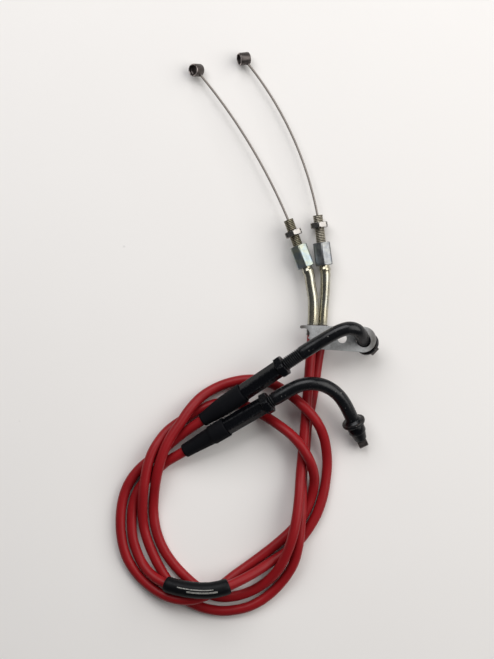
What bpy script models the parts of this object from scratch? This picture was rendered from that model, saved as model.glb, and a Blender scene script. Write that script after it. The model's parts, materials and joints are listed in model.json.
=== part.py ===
"""A pair of motorcycle throttle cables, a pull and a push, lying coiled on a flat surface.

Each cable runs from the engine end (barrel nipple, bare inner wire, adjuster screw, bent pipe),
through a red sheath laid in one and a half loops, to the twist-grip end (rubber boot, barrel
adjuster, bent elbow, flange, end cap, small nipple). A plate on the pull cable's elbow guides both.

Sizes and places below are in millimetres on a layout whose origin is LAYOUT_ORIGIN in the model's
own frame; every object is built and placed in metres, +Z up, with the surface at Z = 0.
"""
import math

import bmesh
import bpy
from mathutils import Matrix, Vector

MM = 0.001
LAYOUT_ORIGIN = Vector((12.5, 4.8, 0.02))  # under the middle of the fittings
UP = Vector((0.0, 0.0, 1.0))
GAP = 0.3  # between faces that meet

# Sheath, crimp and inner wire
SHEATH_D = 6.0
SHEATH_STEP = 11.0  # length of one straight facet of a sheath
STRAIGHT_FROM = -8.0  # the sheath is straight from here on, measured from the boot's tail
CRIMP_OUT_R = 3.6
CRIMP_IN_R = 3.32
CRIMP_LENGTH = 6.4
MARKER_START = 548.0  # distance along the push sheath
MARKER_LENGTH = 38.5
WIRE_R = 0.7
WIRE_STROKE = 16.0
WIRE_INSIDE = 7.0  # engine wire inside its adjuster at rest

# Engine end: hexagonal adjuster with an M6 screw, and its lock nut
ADJUSTER_FLATS = 10.0
ADJUSTER_HEX = 13.5
ADJUSTER_LENGTH = 30.0
M6_R = 2.95
M6_NUT_R = 3.35
M6_NUT_FLATS = 10.0
M6_NUT_HEIGHT = 3.3
ADJUSTER_BORE_R = 1.6
PIPE_R = 3.05
PIPE_BORE_R = 2.3
PIPE_SOCKET_R = 3.4
PIPE_SOCKET_DEPTH = 3.0
BEAD_R = 3.6
LINER_R = 1.85
LINER_BORE_R = 1.2
NIPPLE_R = 3.8
NIPPLE_LENGTH = 6.4
NIPPLE_HOLE_R = 1.1

# Grip end: places are distances from the boot's tail along the fitting's own axis
BOOT_LENGTH = 30.0
FERRULE_START = 14.0
FERRULE_END = 29.6
SHEATH_END = 27.2
BARREL_START = 20.6
BARREL_END = 55.5
BARREL_FLATS = 9.2
BARREL_WEB = (30.4, 33.0)
M8_NUT_FLATS = 12.0
M8_NUT_HEIGHT = 4.5
M8_THREAD_R = 3.85
M8_BORE_R = 4.25
THREAD_START = 38.0
ELBOW_R = 4.0
ELBOW_BORE_R = 2.4
FLANGE_R = 7.0
FLANGE_THICK = 2.0
GRIP_NIPPLE_R = 2.6
GRIP_NIPPLE_LENGTH = 5.6
GRIP_WIRE_R = 0.75

# Guide plate
PLATE_THICK = 1.6
PLATE_RING_R = 7.6
PLATE_HOLE_R = 5.6
NOTCH_AT = (-34.9, 3.4)  # the hook's hollow, from the ring's centre
NOTCH_R = 3.2

RED_PVC = ("red_pvc", (0.52, 0.016, 0.02), 0.42, 0.0)
BLACK_RUBBER = ("black_rubber", (0.012, 0.012, 0.014), 0.62, 0.0)
BLACK_OXIDE = ("black_oxide", (0.014, 0.015, 0.018), 0.38, 0.6)
BLACK_PAINT = ("black_paint", (0.012, 0.013, 0.016), 0.33, 0.1)
ZINC = ("zinc_plate", (0.62, 0.63, 0.58), 0.3, 1.0)
DULL_ZINC = ("dull_zinc", (0.28, 0.29, 0.29), 0.5, 0.8)
STEEL_WIRE = ("steel_wire", (0.33, 0.32, 0.30), 0.4, 1.0)
DARK_STEEL = ("dark_steel", (0.10, 0.10, 0.10), 0.45, 0.9)
WHITE_LINER = ("white_liner", (0.75, 0.74, 0.70), 0.5, 0.0)

PUSH_ROUTE = [
    (37.7, 1.2, 8.4), (37.3, -7, 8.4), (36.2, -20, 8.6), (35.2, -33, 8.8), (34.2, -45.5, 9.0),
    (33.3, -56, 9.2), (32.1, -69.5, 9.4), (30.6, -84.9, 10.5), (29.7, -97, 13.4), (28.2, -109, 15.5),
    (26.0, -120, 15.6), (22.6, -130.4, 13.4), (17.2, -141.4, 9.6), (9.9, -149.3, 5.6), (1, -155, 3.4),
    (-8.4, -158, 3.1), (-18, -158.4, 3.1), (-27.4, -154.8, 3.1), (-36.8, -147.4, 3.1), (-45.2, -138.6, 3.1),
    (-51.3, -129.5, 3.1), (-55.4, -119, 3.1), (-57.1, -107.5, 3.2), (-56.7, -98, 5.0), (-55.4, -88.5, 8.6),
    (-53.4, -79.5, 11.0), (-50.2, -69.8, 11.6), (-46, -61.6, 11.2), (-41.2, -54.6, 10.4),
    (-35.2, -45.8, 8.6), (-27.8, -38.2, 5.4), (-17.6, -32.4, 3.3), (-7, -29.2, 3.1), (3, -28.4, 3.2),
    (12, -30.2, 5.0), (20, -34.2, 8.8), (27, -39.2, 13.0), (33.6, -45.2, 15.5), (39.4, -52, 14.6),
    (43.6, -60, 11.0), (45.9, -69, 7.0), (46.7, -78.5, 4.2), (46.0, -87.6, 3.1), (44.4, -97.2, 3.1),
    (41.2, -107.4, 3.1), (35.9, -117.2, 3.1), (29.0, -125.9, 3.1), (21, -132.4, 3.8), (12.3, -137.6, 6.4),
    (3.5, -142.7, 10.6), (-5.5, -147.1, 14.4), (-14, -150.5, 16.8), (-22.8, -152.3, 17.4),
    (-32.1, -152.4, 16), (-40.8, -151.4, 13.8), (-49.2, -149.4, 11.2), (-57, -145.4, 8.0),
    (-63.3, -138.8, 4.8), (-67.2, -131, 3.2), (-69.6, -122.5, 3.1), (-70.2, -113, 3.1), (-69.4, -103.6, 3.1),
    (-66.6, -95.4, 3.1), (-62.0, -89, 3.1), (-56.6, -83.8, 3.4), (-51.4, -79.2, 4.3),
]
PULL_ROUTE = [
    (43.5, 1.2, 3.65), (42.8, -7, 3.6), (40.8, -20, 3.2), (39.0, -33, 3.1), (36.8, -45.5, 3.1),
    (34.9, -56, 3.1), (33.7, -69.5, 3.1), (32.6, -79, 3.2), (31.7, -88.5, 4.6), (31.6, -98, 7.2),
    (31.3, -107, 9.2), (30.6, -116, 9.7), (29.4, -126.5, 9.6), (26.3, -138.4, 7.4), (19.2, -149.7, 4.4),
    (10.1, -158.6, 3.1), (1, -163.8, 3.1), (-8.2, -166.2, 3.1), (-17, -166.8, 3.1), (-26.5, -165.2, 3.1),
    (-35.6, -161.4, 3.1), (-43.2, -155.6, 3.1), (-49.4, -147.4, 3.1), (-54.9, -138, 3.1), (-59.6, -127.6, 3.1),
    (-62.9, -116.5, 3.3), (-63.6, -105, 6.2), (-62.8, -94.5, 9.5), (-61.6, -86, 10.1), (-60.1, -79, 10.0),
    (-57.8, -72.2, 9.2), (-54.4, -66.2, 7.9), (-49.6, -60, 4.6), (-43.4, -55, 3.1), (-36, -50.4, 3.1),
    (-28.4, -46, 3.1), (-20.4, -43, 3.1), (-11.4, -42, 3.1), (-3.4, -43.6, 3.2), (4.6, -47.2, 4.6),
    (11.4, -51.2, 7.4), (18.2, -55.6, 11.2), (25, -60.8, 14.6), (30.6, -67.0, 16.6), (34.6, -73.6, 16.0),
    (37.6, -80.6, 12.0), (38.9, -88.6, 7.0), (37.6, -97.2, 3.6), (34.7, -105.4, 3.1), (30.2, -113.2, 3.1),
    (22.8, -121.2, 3.1), (14.2, -128.6, 3.1), (4.8, -135.8, 3.1), (-3.6, -141.8, 3.8), (-9.6, -145.8, 5.6),
    (-16.2, -150.8, 8.0), (-24.4, -156.0, 9.6), (-32, -158.8, 9.9), (-40, -159.2, 9.7),
    (-49.4, -157.2, 7.8), (-58, -152.6, 4.9), (-66.6, -145, 3.2), (-73, -135, 3.1), (-76.3, -122.5, 3.1),
    (-76.8, -110, 3.1), (-75.2, -99, 3.1), (-71.4, -89.6, 3.1), (-65.6, -82.0, 3.1), (-58.6, -76.0, 3.1),
    (-51.6, -70.6, 3.3), (-44.8, -64.8, 4.4),
]

CABLES = {
    "pull": {
        "route": PULL_ROUTE,
        "adjuster_base": (44.8, 39.8, 6.4), "adjuster_yaw": 97.3, "adjuster_pitch": -0.55,
        "pipe": [(43.6, 4.4, 3.75), (44.2, 12.5, 4.2), (45.0, 21.0, 5.0), (45.4, 29.0, 6.0)],
        "nut_at": 24.1, "wire_bend_r": 205.0, "wire_length": 104.5,
        "nipple_axis": (-0.92, -0.16, 0.36),
        "tail": (-27.6, -52.3, 9.1), "yaw": 34.3, "pitch": 12.3,
        "thread_end": 72.4, "barrel_roll": 33.0,
        "boot": [(4, 4.4), (8, 4.9), (13, 5.5), (20, 5.85), (28.6, 5.95)],
        "elbow": [(39.4, -7.0, 26.2), (47.0, -2.4, 27.8), (53.4, 0.9, 28.6), (58.6, 2.2, 28.4),
                  (62.6, 1.3, 26.8), (65.3, -1.1, 23.4)],
        "end_at": (67.3, -4.4, 18.2), "end_axis": (0.42, -0.385, -0.822),
        "flange_after": 6.8, "cap_length": 4.6,
    },
    "push": {
        "route": PUSH_ROUTE,
        "adjuster_base": (34.0, 38.6, 9.5), "adjuster_yaw": 110.7, "adjuster_pitch": -1.8,
        "pipe": [(37.8, 4.4, 8.4), (38.1, 12.0, 8.7), (37.9, 20.0, 9.1), (36.6, 28.5, 9.4)],
        "nut_at": 21.5, "wire_bend_r": 345.0, "wire_length": 105.5,
        "nipple_axis": (-0.64, -0.10, 0.76),
        "tail": (-38.35, -70.9, 8.0), "yaw": 30.7, "pitch": 12.3,
        "thread_end": 63.4, "barrel_roll": 24.0,
        "boot": [(6, 4.4), (12, 4.8), (18.8, 5.3), (19.6, 5.82), (28.6, 5.88)],
        "elbow": [(24.4, -33.7, 23.2), (30.0, -31.2, 24.2), (36.0, -30.2, 24.4), (42.1, -30.8, 23.6),
                  (47.8, -33.3, 21.8), (52.6, -37.2, 19.6), (56.3, -42.1, 17.2)],
        "end_at": (59.6, -48.3, 14.4), "end_axis": (0.375, -0.815, -0.442),
        "flange_after": 6.4, "cap_length": 11.4,
    },
}


def world(point):
    """A layout point in millimetres as a point of the model's frame in metres."""
    return (Vector(point) - LAYOUT_ORIGIN) * MM


def direction(yaw, pitch):
    """The unit vector at a heading in the ground plane and a rise above it, in degrees."""
    flat = math.cos(math.radians(pitch))
    return Vector((
        math.cos(math.radians(yaw)) * flat,
        math.sin(math.radians(yaw)) * flat,
        math.sin(math.radians(pitch)),
    ))


def frame_at(point, axis, side=UP, roll=0.0):
    """A placement whose +Z runs along the axis and whose +X leans to the side vector."""
    z = Vector(axis).normalized()
    x = (Vector(side) - Vector(side).dot(z) * z).normalized()
    matrix = Matrix((x, z.cross(x), z)).transposed().to_4x4()
    matrix.translation = world(point)
    return matrix @ Matrix.Rotation(math.radians(roll), 4, "Z")


def smooth_path(points, step):
    """Even steps along a centripetal Catmull-Rom curve through the points."""
    knots = [Vector(p) for p in points]
    knots = [2 * knots[0] - knots[1]] + knots + [2 * knots[-1] - knots[-2]]
    fine = []
    for a, b, c, d in zip(knots, knots[1:], knots[2:], knots[3:]):
        t1 = math.sqrt((b - a).length)
        t2 = t1 + math.sqrt((c - b).length)
        t3 = t2 + math.sqrt((d - c).length)
        for i in range(24):
            t = t1 + (t2 - t1) * i / 24
            ab = a.lerp(b, t / t1)
            bc = b.lerp(c, (t - t1) / (t2 - t1))
            cd = c.lerp(d, (t - t2) / (t3 - t2))
            abc = ab.lerp(bc, t / t2)
            bcd = bc.lerp(cd, (t - t1) / (t3 - t1))
            fine.append(abc.lerp(bcd, (t - t1) / (t2 - t1)))
    fine.append(knots[-2])
    return even_steps(fine, step)


def even_steps(points, step):
    """The same polyline with its points a constant distance apart."""
    lengths = [0.0]
    for a, b in zip(points, points[1:]):
        lengths.append(lengths[-1] + (b - a).length)
    count = max(2, round(lengths[-1] / step))
    spaced, segment = [], 0
    for i in range(count + 1):
        wanted = lengths[-1] * i / count
        while segment < len(points) - 2 and lengths[segment + 1] < wanted:
            segment += 1
        share = (wanted - lengths[segment]) / (lengths[segment + 1] - lengths[segment])
        spaced.append(points[segment].lerp(points[segment + 1], min(1.0, share)))
    return spaced


def material(finish):
    """The Principled material of a finish, made once and shared by name."""
    name, colour, roughness, metallic = finish
    found = bpy.data.materials.get(name)
    if found:
        return found
    made = bpy.data.materials.new(name)
    made.use_nodes = True
    shader = made.node_tree.nodes["Principled BSDF"]
    shader.inputs["Base Color"].default_value = (*colour, 1.0)
    shader.inputs["Roughness"].default_value = roughness
    shader.inputs["Metallic"].default_value = metallic
    made.diffuse_color = (*colour, 1.0)
    return made


def add_object(name, data, finish, matrix):
    """One named sub-part with its own copy of a finish."""
    thing = bpy.data.objects.new(name, data)
    bpy.context.scene.collection.objects.link(thing)
    own = material(finish).copy()
    own.name = name + "_" + finish[0]
    data.materials.append(own)
    thing.matrix_world = matrix
    return thing


def add_mesh(name, rings, finish, matrix, closed):
    """A skin over rings of points; closed rings join last to first, others end in flat caps."""
    mesh = bpy.data.meshes.new(name)
    shape = bmesh.new()
    loops = [[shape.verts.new(Vector(p) * MM) for p in ring] for ring in rings]
    pairs = list(zip(loops, loops[1:]))
    if closed:
        pairs.append((loops[-1], loops[0]))
    else:
        shape.faces.new(loops[0])
        shape.faces.new(loops[-1])
    for low, high in pairs:
        for i in range(len(low)):
            j = (i + 1) % len(low)
            shape.faces.new((low[i], low[j], high[j], high[i]))
    bmesh.ops.recalc_face_normals(shape, faces=shape.faces)
    shape.to_mesh(mesh)
    shape.free()
    mesh.shade_smooth()
    mesh.set_sharp_from_angle(angle=math.radians(35))
    return add_object(name, mesh, finish, matrix)


def section(height, radius, flats, sides):
    """One ring of a turned part; flats trims it to a hexagon with a corner towards local +X."""
    ring = []
    for i in range(sides):
        angle = 2 * math.pi * i / sides
        r = radius
        if flats:
            corner = angle % (math.pi / 3) - math.pi / 6
            r = min(radius, flats / 2 / math.cos(corner))
        ring.append((r * math.cos(angle), r * math.sin(angle), height))
    return ring


def turned(name, outline, finish, matrix, sides=24, hollow=True):
    """A turned or hexagonal part. The outline lists (height, radius) or (height, radius, flats)."""
    rings = [section(row[0], row[1], row[2] if len(row) > 2 else 0.0, sides) for row in outline]
    return add_mesh(name, rings, finish, matrix, closed=hollow)


def swept(name, path, outer, inner, finish, origin, sides=16):
    """A hollow tube along a path. outer and inner give the radius at a distance from the start."""
    tangent = (path[1] - path[0]).normalized()
    side = tangent.orthogonal().normalized()
    outside, inside, travelled = [], [], 0.0
    for i, point in enumerate(path):
        before = path[max(0, i - 1)]
        after = path[min(len(path) - 1, i + 1)]
        tangent = (after - before).normalized()
        side = (side - side.dot(tangent) * tangent).normalized()
        across = tangent.cross(side)
        travelled += (point - before).length
        for rings, radius in ((outside, outer(travelled)), (inside, inner(travelled))):
            rings.append([
                point - origin + radius * (side * math.cos(a) + across * math.sin(a))
                for a in (2 * math.pi * k / sides for k in range(sides))
            ])
    return add_mesh(name, outside + inside[::-1], finish, Matrix.Translation(world(origin)), True)


def cord(name, path, radius, finish, origin, resolution=2):
    """A solid round cord: a poly curve with a bevel and filled caps."""
    curve = bpy.data.curves.new(name, "CURVE")
    curve.dimensions = "3D"
    curve.bevel_depth = radius * MM
    curve.bevel_resolution = resolution
    curve.use_fill_caps = True
    spline = curve.splines.new("POLY")
    spline.points.add(len(path) - 1)
    for slot, point in zip(spline.points, path):
        slot.co = (*((point - origin) * MM), 1.0)
    return add_object(name, curve, finish, Matrix.Translation(world(origin)))


def drilled(thing, name, centre, axis, radius, reach):
    """Cut a round hole through or into a part with a hidden cutter."""
    cutter = turned(name, [(-reach, radius), (reach, radius)], DARK_STEEL,
                    frame_at(centre, axis, side=axis_side(axis)), sides=16, hollow=False)
    cutter.hide_render = True
    cutter.display_type = "WIRE"
    cut = thing.modifiers.new(name, "BOOLEAN")
    cut.operation = "DIFFERENCE"
    cut.object = cutter


def axis_side(axis):
    """Any direction that is well off the axis."""
    return Vector((1, 0, 0)) if abs(Vector(axis).normalized().z) > 0.7 else UP


class Arc:
    """The circle that an engine wire slides along, in the plane of its adjuster's axis."""

    def __init__(self, cable):
        self.along = direction(cable["adjuster_yaw"], cable["adjuster_pitch"])
        self.inwards = UP.cross(self.along).normalized()
        self.radius = cable["wire_bend_r"]
        base = Vector(cable["adjuster_base"])
        self.deepest = WIRE_INSIDE + WIRE_STROKE
        middle = base + self.along * (ADJUSTER_LENGTH - self.deepest / 2)
        bow = self.deepest ** 2 / (8 * self.radius)
        self.centre = middle + self.inwards * (self.radius - bow / 2)

    def point(self, beyond_tip):
        """The point at an arc length beyond the adjuster's open tip."""
        turn = (beyond_tip + self.deepest / 2) / self.radius
        return (self.centre - self.inwards * self.radius * math.cos(turn)
                + self.along * self.radius * math.sin(turn))

    def heading(self, beyond_tip):
        """The wire's direction there."""
        turn = (beyond_tip + self.deepest / 2) / self.radius
        return self.along * math.cos(turn) + self.inwards * math.sin(turn)


def engine_end(name, cable):
    """Nipple, bare wire, adjuster screw, its lock nut, bent pipe and liner."""
    arc = Arc(cable)
    base = Vector(cable["adjuster_base"])
    end = cable["wire_length"]
    wire = [arc.point(-WIRE_INSIDE + (end - 1.2 + WIRE_INSIDE) * i / 16) for i in range(17)]
    cord(name + "_engine_wire", wire, WIRE_R, STEEL_WIRE, arc.centre)

    nipple_at = arc.point(end)
    half = NIPPLE_LENGTH / 2
    nipple = turned(name + "_engine_nipple", [
        (-half, NIPPLE_R - 0.4), (-half + 0.4, NIPPLE_R), (half - 0.4, NIPPLE_R), (half, NIPPLE_R - 0.4),
    ], DARK_STEEL, frame_at(nipple_at, cable["nipple_axis"]), hollow=False)
    drilled(nipple, name + "_nipple_cutter", nipple_at - arc.heading(end) * 4.0,
            arc.heading(end), NIPPLE_HOLE_R, 4.0)

    adjuster = frame_at(base, arc.along)
    corner = ADJUSTER_FLATS / math.sqrt(3)
    turned(name + "_adjuster_screw", [
        (0, corner - 0.5, ADJUSTER_FLATS), (0.5, corner, ADJUSTER_FLATS),
        (ADJUSTER_HEX - 0.5, corner, ADJUSTER_FLATS), (ADJUSTER_HEX, corner - 0.5, ADJUSTER_FLATS),
        (ADJUSTER_HEX, M6_R), (ADJUSTER_LENGTH - 0.5, M6_R), (ADJUSTER_LENGTH, M6_R - 0.5),
        (ADJUSTER_LENGTH, ADJUSTER_BORE_R), (PIPE_SOCKET_DEPTH, ADJUSTER_BORE_R),
        (PIPE_SOCKET_DEPTH, PIPE_SOCKET_R), (0, PIPE_SOCKET_R),
    ], ZINC, adjuster)

    corner = M6_NUT_FLATS / math.sqrt(3)
    half = M6_NUT_HEIGHT / 2
    turned(name + "_adjuster_nut", [
        (-half, corner - 0.5, M6_NUT_FLATS), (-half + 0.4, corner, M6_NUT_FLATS),
        (half - 0.4, corner, M6_NUT_FLATS), (half, corner - 0.5, M6_NUT_FLATS),
        (half, M6_NUT_R), (-half, M6_NUT_R),
    ], ZINC, frame_at(base + arc.along * cable["nut_at"], arc.along))

    socket_end = base + arc.along * (PIPE_SOCKET_DEPTH - GAP)
    start = Vector(cable["route"][0]) + Vector((0, GAP + 0.1, 0))
    pipe = smooth_path([start, *cable["pipe"], base - arc.along * 5, base, socket_end], 3.0)
    length = 3.0 * (len(pipe) - 1)
    swept(name + "_bent_pipe", pipe,
          lambda s: BEAD_R if length - 7.5 < s < length - 4.0 else PIPE_R,
          lambda s: PIPE_BORE_R, ZINC, pipe[0])
    liner = pipe[:]
    liner[0] = liner[0].lerp(liner[1], 0.2)
    liner[-1] = liner[-1].lerp(liner[-2], 0.2)
    swept(name + "_pipe_liner", liner, lambda s: LINER_R, lambda s: LINER_BORE_R,
          WHITE_LINER, pipe[0], sides=10)


def grip_axis(cable):
    """The straight run of boot, barrel and threaded tube: a function of distance from the tail."""
    tail = Vector(cable["tail"])
    along = direction(cable["yaw"], cable["pitch"])
    return (lambda s: tail + along * s), along


def sheath_path(cable):
    """The sheath from the crimp to its end inside the ferrule."""
    at, _ = grip_axis(cable)
    bent = smooth_path(cable["route"] + [at(STRAIGHT_FROM - 5), at(STRAIGHT_FROM)], SHEATH_STEP)
    return bent + [at(8), at(SHEATH_END)]


def sheath(name, cable):
    """The sheath and the crimp that joins it to the bent pipe."""
    path = sheath_path(cable)
    cord(name + "_sheath", path, SHEATH_D / 2, RED_PVC, path[0], resolution=3)
    start = Vector(cable["route"][0])
    back = (start - Vector(cable["route"][1])).normalized()
    half = CRIMP_LENGTH / 2
    turned(name + "_crimp_sleeve", [
        (-half, CRIMP_OUT_R - 0.15), (-half + 0.3, CRIMP_OUT_R), (half - 0.3, CRIMP_OUT_R),
        (half, CRIMP_OUT_R - 0.15), (half, CRIMP_IN_R), (-half, CRIMP_IN_R),
    ], DULL_ZINC, frame_at(start, back))


def barrel_group(name, cable):
    """Sheath ferrule, rubber boot, barrel adjuster and its lock nut."""
    at, along = grip_axis(cable)
    turned(name + "_grip_ferrule", [
        (FERRULE_START, 3.65), (FERRULE_START + 0.4, 3.8), (FERRULE_END, 3.8),
        (FERRULE_END, 1.6), (SHEATH_END + GAP + 0.5, 1.6), (SHEATH_END + GAP + 0.5, 3.35),
        (FERRULE_START, 3.35),
    ], DULL_ZINC, frame_at(at(0), along))
    turned(name + "_boot", [
        (0, 3.95), (0.6, 4.15), *cable["boot"], (BOOT_LENGTH, 5.85), (BOOT_LENGTH, 5.55), (19.6, 5.55),
        (19.0, 4.15), (12.2, 4.15), (11.6, 3.45), (0, 3.45),
    ], BLACK_RUBBER, frame_at(at(0), along))
    corner = BARREL_FLATS / math.sqrt(3)
    web_low, web_high = BARREL_WEB
    turned(name + "_barrel", [
        (BARREL_START, corner - 0.5, BARREL_FLATS), (BARREL_START + 0.4, corner, BARREL_FLATS),
        (BARREL_END - 0.4, corner, BARREL_FLATS), (BARREL_END, corner - 0.5, BARREL_FLATS),
        (BARREL_END, M8_BORE_R), (web_high, M8_BORE_R), (web_high, 1.7), (web_low, 1.7),
        (web_low, 4.15), (BARREL_START, 4.15),
    ], BLACK_OXIDE, frame_at(at(0), along, roll=cable["barrel_roll"]))
    corner = M8_NUT_FLATS / math.sqrt(3)
    low = BARREL_END + GAP
    high = low + M8_NUT_HEIGHT
    turned(name + "_barrel_nut", [
        (low, corner - 0.6, M8_NUT_FLATS), (low + 0.5, corner, M8_NUT_FLATS),
        (high - 0.5, corner, M8_NUT_FLATS), (high, corner - 0.6, M8_NUT_FLATS),
        (high, M8_BORE_R), (low, M8_BORE_R),
    ], BLACK_OXIDE, frame_at(at(0), along, roll=cable["barrel_roll"] + 22))


def elbow_group(name, cable):
    """Threaded elbow tube, welded flange, end cap, and the wire stub with its small nipple."""
    at, along = grip_axis(cable)
    end_at = Vector(cable["end_at"])
    end_axis = Vector(cable["end_axis"]).normalized()
    flange_at = end_at + end_axis * cable["flange_after"]
    thread = cable["thread_end"] - THREAD_START
    run = [at(THREAD_START), at(THREAD_START + 12), at(cable["thread_end"] - 8),
           at(cable["thread_end"])]
    tail = [end_at, end_at + end_axis * 3.5, flange_at + end_axis * 2.2]
    path = smooth_path(run + [Vector(p) for p in cable["elbow"]] + tail, 3.2)
    swept(name + "_elbow", path,
          lambda s: M8_THREAD_R if s < thread else ELBOW_R,
          lambda s: ELBOW_BORE_R, BLACK_PAINT, at(THREAD_START), sides=14)
    flange = frame_at(flange_at, end_axis)
    half = FLANGE_THICK / 2
    turned(name + "_elbow_flange", [
        (-half, FLANGE_R - 0.4), (-half + 0.4, FLANGE_R), (half - 0.4, FLANGE_R),
        (half, FLANGE_R - 0.4), (half, ELBOW_R + 0.3), (-half, ELBOW_R + 0.3),
    ], BLACK_PAINT, flange)
    low = half + GAP
    high = low + cable["cap_length"]
    ring = low + cable["cap_length"] * 0.5
    turned(name + "_elbow_cap", [
        (low, 4.95), (low + 0.3, 5.15), (ring, 5.15), (ring + 0.4, 4.7), (high - 0.6, 3.6),
        (high, 3.3), (high, 1.2), (2.6, 1.2), (2.6, ELBOW_R + 0.32), (low, ELBOW_R + 0.32),
    ], BLACK_OXIDE, flange)

    nipple_low = high + GAP
    nipple_mid = flange_at + end_axis * (nipple_low + GRIP_NIPPLE_R)
    half = GRIP_NIPPLE_LENGTH / 2
    across = end_axis.cross(UP).normalized()
    nipple = turned(name + "_grip_nipple", [
        (-half, GRIP_NIPPLE_R - 0.3), (-half + 0.3, GRIP_NIPPLE_R), (half - 0.3, GRIP_NIPPLE_R),
        (half, GRIP_NIPPLE_R - 0.3),
    ], ZINC, frame_at(nipple_mid, across), hollow=False)
    drilled(nipple, name + "_grip_nipple_cutter", nipple_mid - end_axis * 3.0, end_axis,
            NIPPLE_HOLE_R, 3.2)
    stub = nipple_low + WIRE_STROKE + 2.5
    wire_start = nipple_mid - end_axis * (stub + GRIP_NIPPLE_R)
    wire = [wire_start.lerp(nipple_mid - end_axis * 0.4, i / 2) for i in range(3)]
    cord(name + "_grip_wire", wire, GRIP_WIRE_R, STEEL_WIRE, wire_start)


def stretch(path, start, end):
    """The part of a polyline between two distances along it."""
    kept, travelled = [], 0.0
    for a, b in zip(path, path[1:]):
        length = (b - a).length
        for wanted in (start, end):
            if travelled < wanted <= travelled + length:
                kept.append(a.lerp(b, (wanted - travelled) / length))
        travelled += length
        if start < travelled < end:
            kept.append(b)
    return kept


def marker_sleeve():
    """The loose printed tube on the push cable's sheath, without its print."""
    path = stretch(sheath_path(CABLES["push"]), MARKER_START, MARKER_START + MARKER_LENGTH)
    swept("marker_sleeve", path, lambda s: 4.9, lambda s: 3.4, BLACK_RUBBER, path[0])


def plate_outline():
    """The plate seen square on, from the ring's centre: hook at the left, ring at the right."""
    points = []
    for i in range(25):
        angle = math.radians(105 - 210 * i / 24)
        points.append((PLATE_RING_R * math.cos(angle), PLATE_RING_R * math.sin(angle)))
    points += [(-24.5, -5.8)]
    for i in range(9):
        angle = math.radians(-50 + 145 * i / 8)
        points.append((NOTCH_AT[0] + NOTCH_R * math.cos(angle), NOTCH_AT[1] + NOTCH_R * math.sin(angle)))
    points += [(-36.6, 6.5), (-37.3, 6.9), (-37.4, 7.7), (-36.9, 8.3), (-35.5, 8.5)]
    return points


def guide_plate():
    """The flat plate on the pull elbow, with a hook that keeps both sheaths together."""
    cable = CABLES["pull"]
    ring_at = Vector(cable["end_at"])
    normal = Vector((-0.146, 0.0, 0.989)).normalized()
    matrix = frame_at(ring_at + normal * GAP, normal, side=(1, 0, 0))
    shape = bmesh.new()
    verts = [shape.verts.new((x * MM, y * MM, -PLATE_THICK / 2 * MM)) for x, y in plate_outline()]
    face = shape.faces.new(verts)
    grown = bmesh.ops.extrude_face_region(shape, geom=[face])
    raised = [item for item in grown["geom"] if isinstance(item, bmesh.types.BMVert)]
    bmesh.ops.translate(shape, verts=raised, vec=(0, 0, PLATE_THICK * MM))
    bmesh.ops.recalc_face_normals(shape, faces=shape.faces)
    mesh = bpy.data.meshes.new("guide_plate")
    shape.to_mesh(mesh)
    shape.free()
    plate = add_object("guide_plate", mesh, DULL_ZINC, matrix)
    drilled(plate, "plate_ring_cutter", ring_at, normal, PLATE_HOLE_R, 4.0)
    screw_hole = ring_at + (matrix.to_3x3() @ Vector((-12.4, 0.6, 0.0)))
    drilled(plate, "plate_screw_cutter", screw_hole, normal, 2.75, 4.0)


def main():
    for old in list(bpy.data.objects):
        bpy.data.objects.remove(old, do_unlink=True)
    for name, cable in CABLES.items():
        engine_end(name, cable)
        sheath(name, cable)
        barrel_group(name, cable)
        elbow_group(name, cable)
    marker_sleeve()
    guide_plate()


main()
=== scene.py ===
"""The looks of a pair of motorcycle throttle cables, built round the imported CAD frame.

Places are in millimetres on the layout that the cables lie on, whose origin is LAYOUT_ORIGIN in
the row frame, and every object is made in metres. The fittings' axes come from the frame's joints.
"""
import json
import math

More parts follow.
